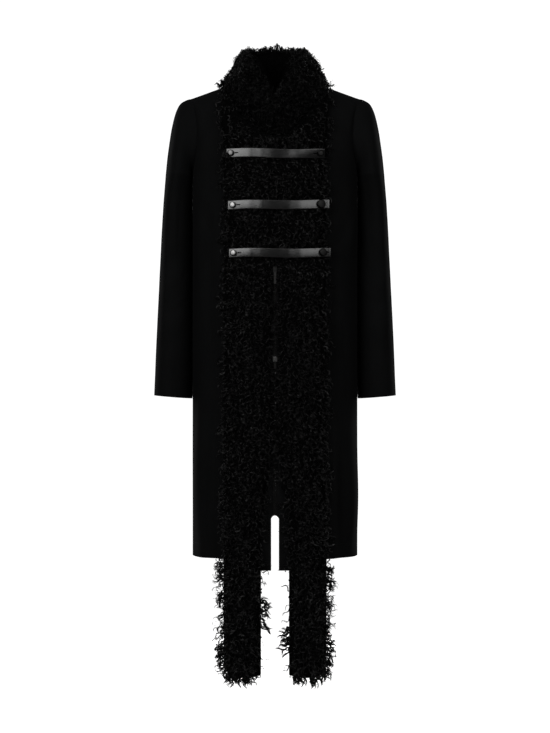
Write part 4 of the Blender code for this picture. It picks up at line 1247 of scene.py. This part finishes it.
def crownWisps(hand, dice):
    # Loose hairs along the collar's top edge, and the tufts that stand highest there
    half = (collar.shape[0] - 1) / 2
    many = fur["crownHairs"]
    rows = half + hand * half * 0.74 * dice.random(many)
    heights, spread = dice.uniform(12.0, 20.0, many), dice.uniform(0.0, 1.0, many)
    front, reach = int(half), int(half * 0.6)
    ridge = under[front:front + 1 + reach, 17, 0] if hand > 0 else under[int(half * 0.4):front + 1, 17, 0][::-1]
    for x, high, count in fur["crown"][hand]:
        middle = half + hand * np.interp(abs(x), np.abs(ridge), np.arange(len(ridge)))
        rows = np.concatenate([rows, middle + dice.normal(0.0, 0.35, count)])
        heights = np.concatenate([heights, 10.5 + high * dice.uniform(0.6, 1.0, count)])
        spread = np.concatenate([spread, dice.uniform(0.3, 0.7, count)])
    batches = []
    for few, picked in ((2, np.arange(many)), (6, np.arange(many, len(rows)))):
        q = 3.9 + 0.9 * spread[picked]
        root, out = (sampleGrid(grid, rows[picked], q * 4.0) for grid in (under, collarNormals))
        out = unit(unit(out) + np.array((0.0, 0.0, 0.9)))
        count = len(picked)
        sway = turnedDown(out, dice.normal(0.0, 1.0, (count, 3)), dice.normal(0.0, 1.0, count))
        length, curl = dice.uniform(3.0, 9.0, count), dice.uniform(0.8, 2.2, count)
        turns, thick = dice.uniform(0.5, 1.4, count), dice.uniform(0.9, 1.6, count)
        batches.append(growLocks(root, out, sway, length, heights[picked], curl, turns, thick, few, 0.55, dice))
    return batches


def collarLocks(side, hand):
    dice = np.random.default_rng(11 if hand > 0 else 12)
    columns, rows = fur["collarGrid"]
    batches = []
    for wisp in (False, True):
        many = int(columns * rows * (fur["wisps"] if wisp else 1.0))
        place = (np.arange(many) + dice.random(many)) / many
        q = 3.9 + 5.5 * ((np.arange(many) * goldenShare) % 1.0 + dice.uniform(-0.02, 0.02, many))
        half = (collar.shape[0] - 1) / 2
        row = half + hand * half * place * 0.997
        column = np.clip(q, 3.7, 9.5) * 4.0
        root, out = sampleGrid(under, row, column), unit(sampleGrid(collarNormals, row, column))
        down = sampleGrid(under, row, column + 1.0) - root
        top = 1.0 - smooth(4.2, 5.6, q)
        down = unit(down) + np.array((0.0, 0.0, -0.25)) * (1 - top)[:, None]
        # 1 beside the neck's opening
        front = smooth(0.30, 0.12, 0.5 - np.abs(row / (collar.shape[0] - 1) - 0.5))
        fringe = smooth(8.0, 9.0, q)
        angle = swirl(root) * 1.2 + dice.normal(0.0, 0.34, many) + top * dice.normal(0.0, 0.8, many)
        down = turnedDown(out, down, angle)
        length = dice.uniform(*fur["length"], many) * (0.9 if wisp else 0.8) * (1 - 0.45 * top + 0.1 * fringe)
        rise = dice.uniform(3.0, 6.5, many) + (2.0 if wisp else 0.0) + 2.2 * clumps(root) - 2.0 * fringe
        rise = np.maximum(0.5, rise - 4.5 * smooth(64.0, 76.0, np.abs(root[:, 0])) * smooth(50.0, 72.0, root[:, 2]))
        keep = q > 3.9 + 0.9 * front
        # lies flat on the shoulder
        brim = smooth(94.0, 106.0, np.abs(root[:, 0])) * smooth(-16.0, -2.0, root[:, 2])
        brim = np.maximum(brim, fringe * smooth(15.0, 50.0, root[:, 1]))
        rise, length = np.maximum(0.5, rise - 5.0 * brim), length * (1 - 0.45 * brim)
        curl = dice.uniform(*fur["curl"], many) * (1 - 0.4 * brim)
        thick = dice.uniform(0.6, 1.0, many) if wisp else dice.uniform(*fur["thick"], many)
        turns = dice.uniform(*fur["turns"], many)
        kept = [values[keep] for values in (root, out, down, length, rise, curl, turns, thick)]
        batches.append(growLocks(*kept, 1 if wisp else fur["strands"], 0.32, dice))
    batches += crownWisps(hand, dice)
    # painted shade: the collar's locks are coloured darker than the same fur on the bands, since the lamps light the
    # collar's upturned face more
    for batch in batches:
        batch["tone"] *= fur["collarPaintedShade"]
    return furPiece("collar_locks_" + side, batches, collarCurls, ("fur_collar",))


def bandLocks(side, hand, skin, face, under):
    dice = np.random.default_rng(21 if hand > 0 else 22)
    columns, rows = fur["bandGrid"]
    batches = []
    middle = skin.shape[1] // 2
    spread = np.cumsum(np.concatenate([[0.0], np.linalg.norm(np.diff(skin[:, middle], axis=0), axis=1)]))
    for wisp in (False, True):
        many = int(columns * rows * (fur["wisps"] if wisp else 1.0))
        place = (np.arange(many) + dice.random(many)) / many * spread[-1]
        row = np.interp(place, spread, np.arange(len(spread)))
        s = (np.arange(many) * goldenShare + dice.uniform(-0.02, 0.02, many)) % 1.0
        column = s * (skin.shape[1] - 1)
        root, base = sampleGrid(under, row, column), sampleGrid(skin, row, column)
        out = unit(sampleGrid(face, row, column) - base)
        high = np.linalg.norm(root - base, axis=1)
        fromMiddle = np.where(hand > 0, s, 1.0 - s)  # 0 at the zip, 1 at the outer edge
        low = smooth(-1020.0, -1080.0, root[:, 2])
        sideways = smooth(0.80, 1.0, fromMiddle) * (1 - 0.35 * low) - smooth(0.16, 0.0, fromMiddle) * (1 - 1.5 * low)
        down = np.zeros((many, 3))
        down[:, 2] = -1.0
        unzipped = 1.0 - smooth(-650.0, -612.0, root[:, 2]) * smooth(-366.0, -398.0, root[:, 2])
        down[:, 0] = hand * sideways * (0.9 + 0.5 * low) * (1.0 + 0.6 * unzipped * (fromMiddle < 0.5))
        angle = swirl(root) + dice.normal(0.0, 0.32 + 0.3 * low, many)
        out = unit(out + np.stack([hand * sideways * 0.9, np.zeros(many), np.zeros(many)], axis=1))
        down = turnedDown(out, down, angle)
        length = dice.uniform(*fur["length"], many) * (0.9 if wisp else 0.8) * (1 + 0.25 * low)
        rise = dice.uniform(2.5, 6.0, many) + 0.12 * high + (2.5 if wisp else 0.0) + 2.4 * clumps(root)
        curl = dice.uniform(*fur["curl"], many)
        zipped = smooth(-640.0, -600.0, root[:, 2]) * smooth(-370.0, -400.0, root[:, 2])
        inner = smooth(0.10, 0.0, fromMiddle) * zipped
        inner = np.maximum(inner, smooth(0.14, 0.02, fromMiddle) * low)
        length, rise = length * (1 - 0.55 * inner), rise * (1 - 0.5 * inner)
        endLift = smooth(fur["bandEnd"] + 26.0, fur["bandEnd"] + 4.0, root[:, 2])
        length = length * (1 - 0.55 * endLift)
        thick = dice.uniform(0.6, 1.0, many) if wisp else dice.uniform(*fur["thick"], many)
        turns = dice.uniform(*fur["turns"], many)
        batches.append(growLocks(root, out, down, length, rise, curl, turns, thick, 1 if wisp else fur["strands"],
                                 0.32, dice, high))
    for x, z, wayX, wayZ, many, wide, tall, far, high in fur["tufts"][hand]:
        across, along = np.abs(x + dice.uniform(-wide, wide, many)), z + dice.uniform(-tall, tall, many)
        row = np.interp(along, skin[:, middle, 2], np.arange(len(skin)))
        edges = np.abs(skin[int(row[0]), :, 0])
        column = np.interp(across, edges[::hand], np.arange(len(edges))[::hand])
        root = sampleGrid(under, row, column)
        out = unit(sampleGrid(face, row, column) - sampleGrid(skin, row, column))
        way = turnedDown(out, np.tile((float(wayX), 0.0, float(wayZ)), (many, 1)), dice.normal(0.0, 0.35, many))
        length, rise = far * dice.uniform(0.6, 1.1, many), high * dice.uniform(0.8, 1.1, many)
        curl, turns = dice.uniform(2.4, 5.0, many), dice.uniform(0.8, 1.6, many)
        thick = dice.uniform(*fur["thick"], many)
        batches.append(growLocks(root, out, way, length, rise, curl, turns, thick, fur["tuftStrands"], 0.7, dice))
    return furPiece("band_locks_" + side, batches, bandCurls, ("fur_band_" + side,))


for side, hand in (("left", 1), ("right", -1)):
    collarLocks(side, hand)
    skin, face = bandPoints(hand)
    away = unit(face - skin)
    bandUnder = skin + (face - skin) * fur["bandUnder"]
    bandUnder = bandUnder + away * fuzz(bandUnder, 4.2, 0.9)[..., None]
    made = gridPiece("band_underfur_" + side, bandUnder, thick=skin)
    finishPiece(made, (underfur, lining), ("fur_band_" + side,), 60.0)
    bandLocks(side, hand, skin, face, bandUnder)
print("coat: fur")

# Pale floor, two soft lamps in front of the coat and three behind it
studio = {
    "floor": -1.36, "floorRadius": 1.25, "white": 0.93, "boxSize": (1.5, 2.1), "aim": (0.0, 0.0, -0.6),
    "fill": 0.05, "backdrop": 1.1,
    # x, y, z, power
    "boxes": ((-1.42, -2.60, 0.60, 40.0), (1.42, -2.60, 0.60, 24.0), (-2.6, 2.5, 0.2, 42.0), (2.6, 2.5, 0.2, 42.0),
              (0.0, 3.6, 0.3, 45.0)),
}
nothingPicked()
bpy.ops.mesh.primitive_circle_add(vertices=96, radius=studio["floorRadius"], fill_type="NGON",
                                  location=(0, 0, studio["floor"]))
floor = bpy.context.object
floor.name = floor.data.name = "studio_floor"
bpy.ops.object.transform_apply(location=True, rotation=True, scale=True)
paper = Finish("pale_paper", Roughness=0.9, Emission_Strength=1.0, Emission_Color=(1.0, 1.0, 1.0, 1.0))
speckle = paper.noise(paper.here(), 60.0, 3.0)
pale = paper.ramp(speckle, (0.3, grey(studio["white"] - 0.02)), (0.7, grey(studio["white"])))
floor.data.materials.append(paper.feed(Base_Color=pale))
floor.visible_diffuse = floor.visible_glossy = False
for x, y, z, power in studio["boxes"]:
    bpy.ops.object.light_add(type="AREA", location=(x, y, z))
    lamp = bpy.context.object
    lamp.data.shape = "RECTANGLE"
    lamp.data.size, lamp.data.size_y = studio["boxSize"]
    lamp.data.energy = power
    aim = Vector(studio["aim"]) - lamp.location
    lamp.rotation_euler = aim.to_track_quat("-Z", "Y").to_euler()
    lamp.visible_camera = False
world = bpy.data.worlds.new("studio_air")
bpy.context.scene.world = world
world.use_nodes = True
air = world.node_tree
back, bright = air.nodes["Background"], air.nodes.new("ShaderNodeBackground")
for shade, strength in ((back, studio["fill"]), (bright, studio["backdrop"])):
    shade.inputs["Color"].default_value = (1.0, 1.0, 1.0, 1.0)
    shade.inputs["Strength"].default_value = strength
sight = air.nodes.new("ShaderNodeLightPath")
both = air.nodes.new("ShaderNodeMixShader")
air.links.new(sight.outputs["Is Camera Ray"], both.inputs[0])
air.links.new(back.outputs[0], both.inputs[1])
air.links.new(bright.outputs[0], both.inputs[2])
air.links.new(both.outputs[0], air.nodes["World Output"].inputs["Surface"])
bpy.context.scene.view_settings.view_transform = "Standard"
print("coat: studio")
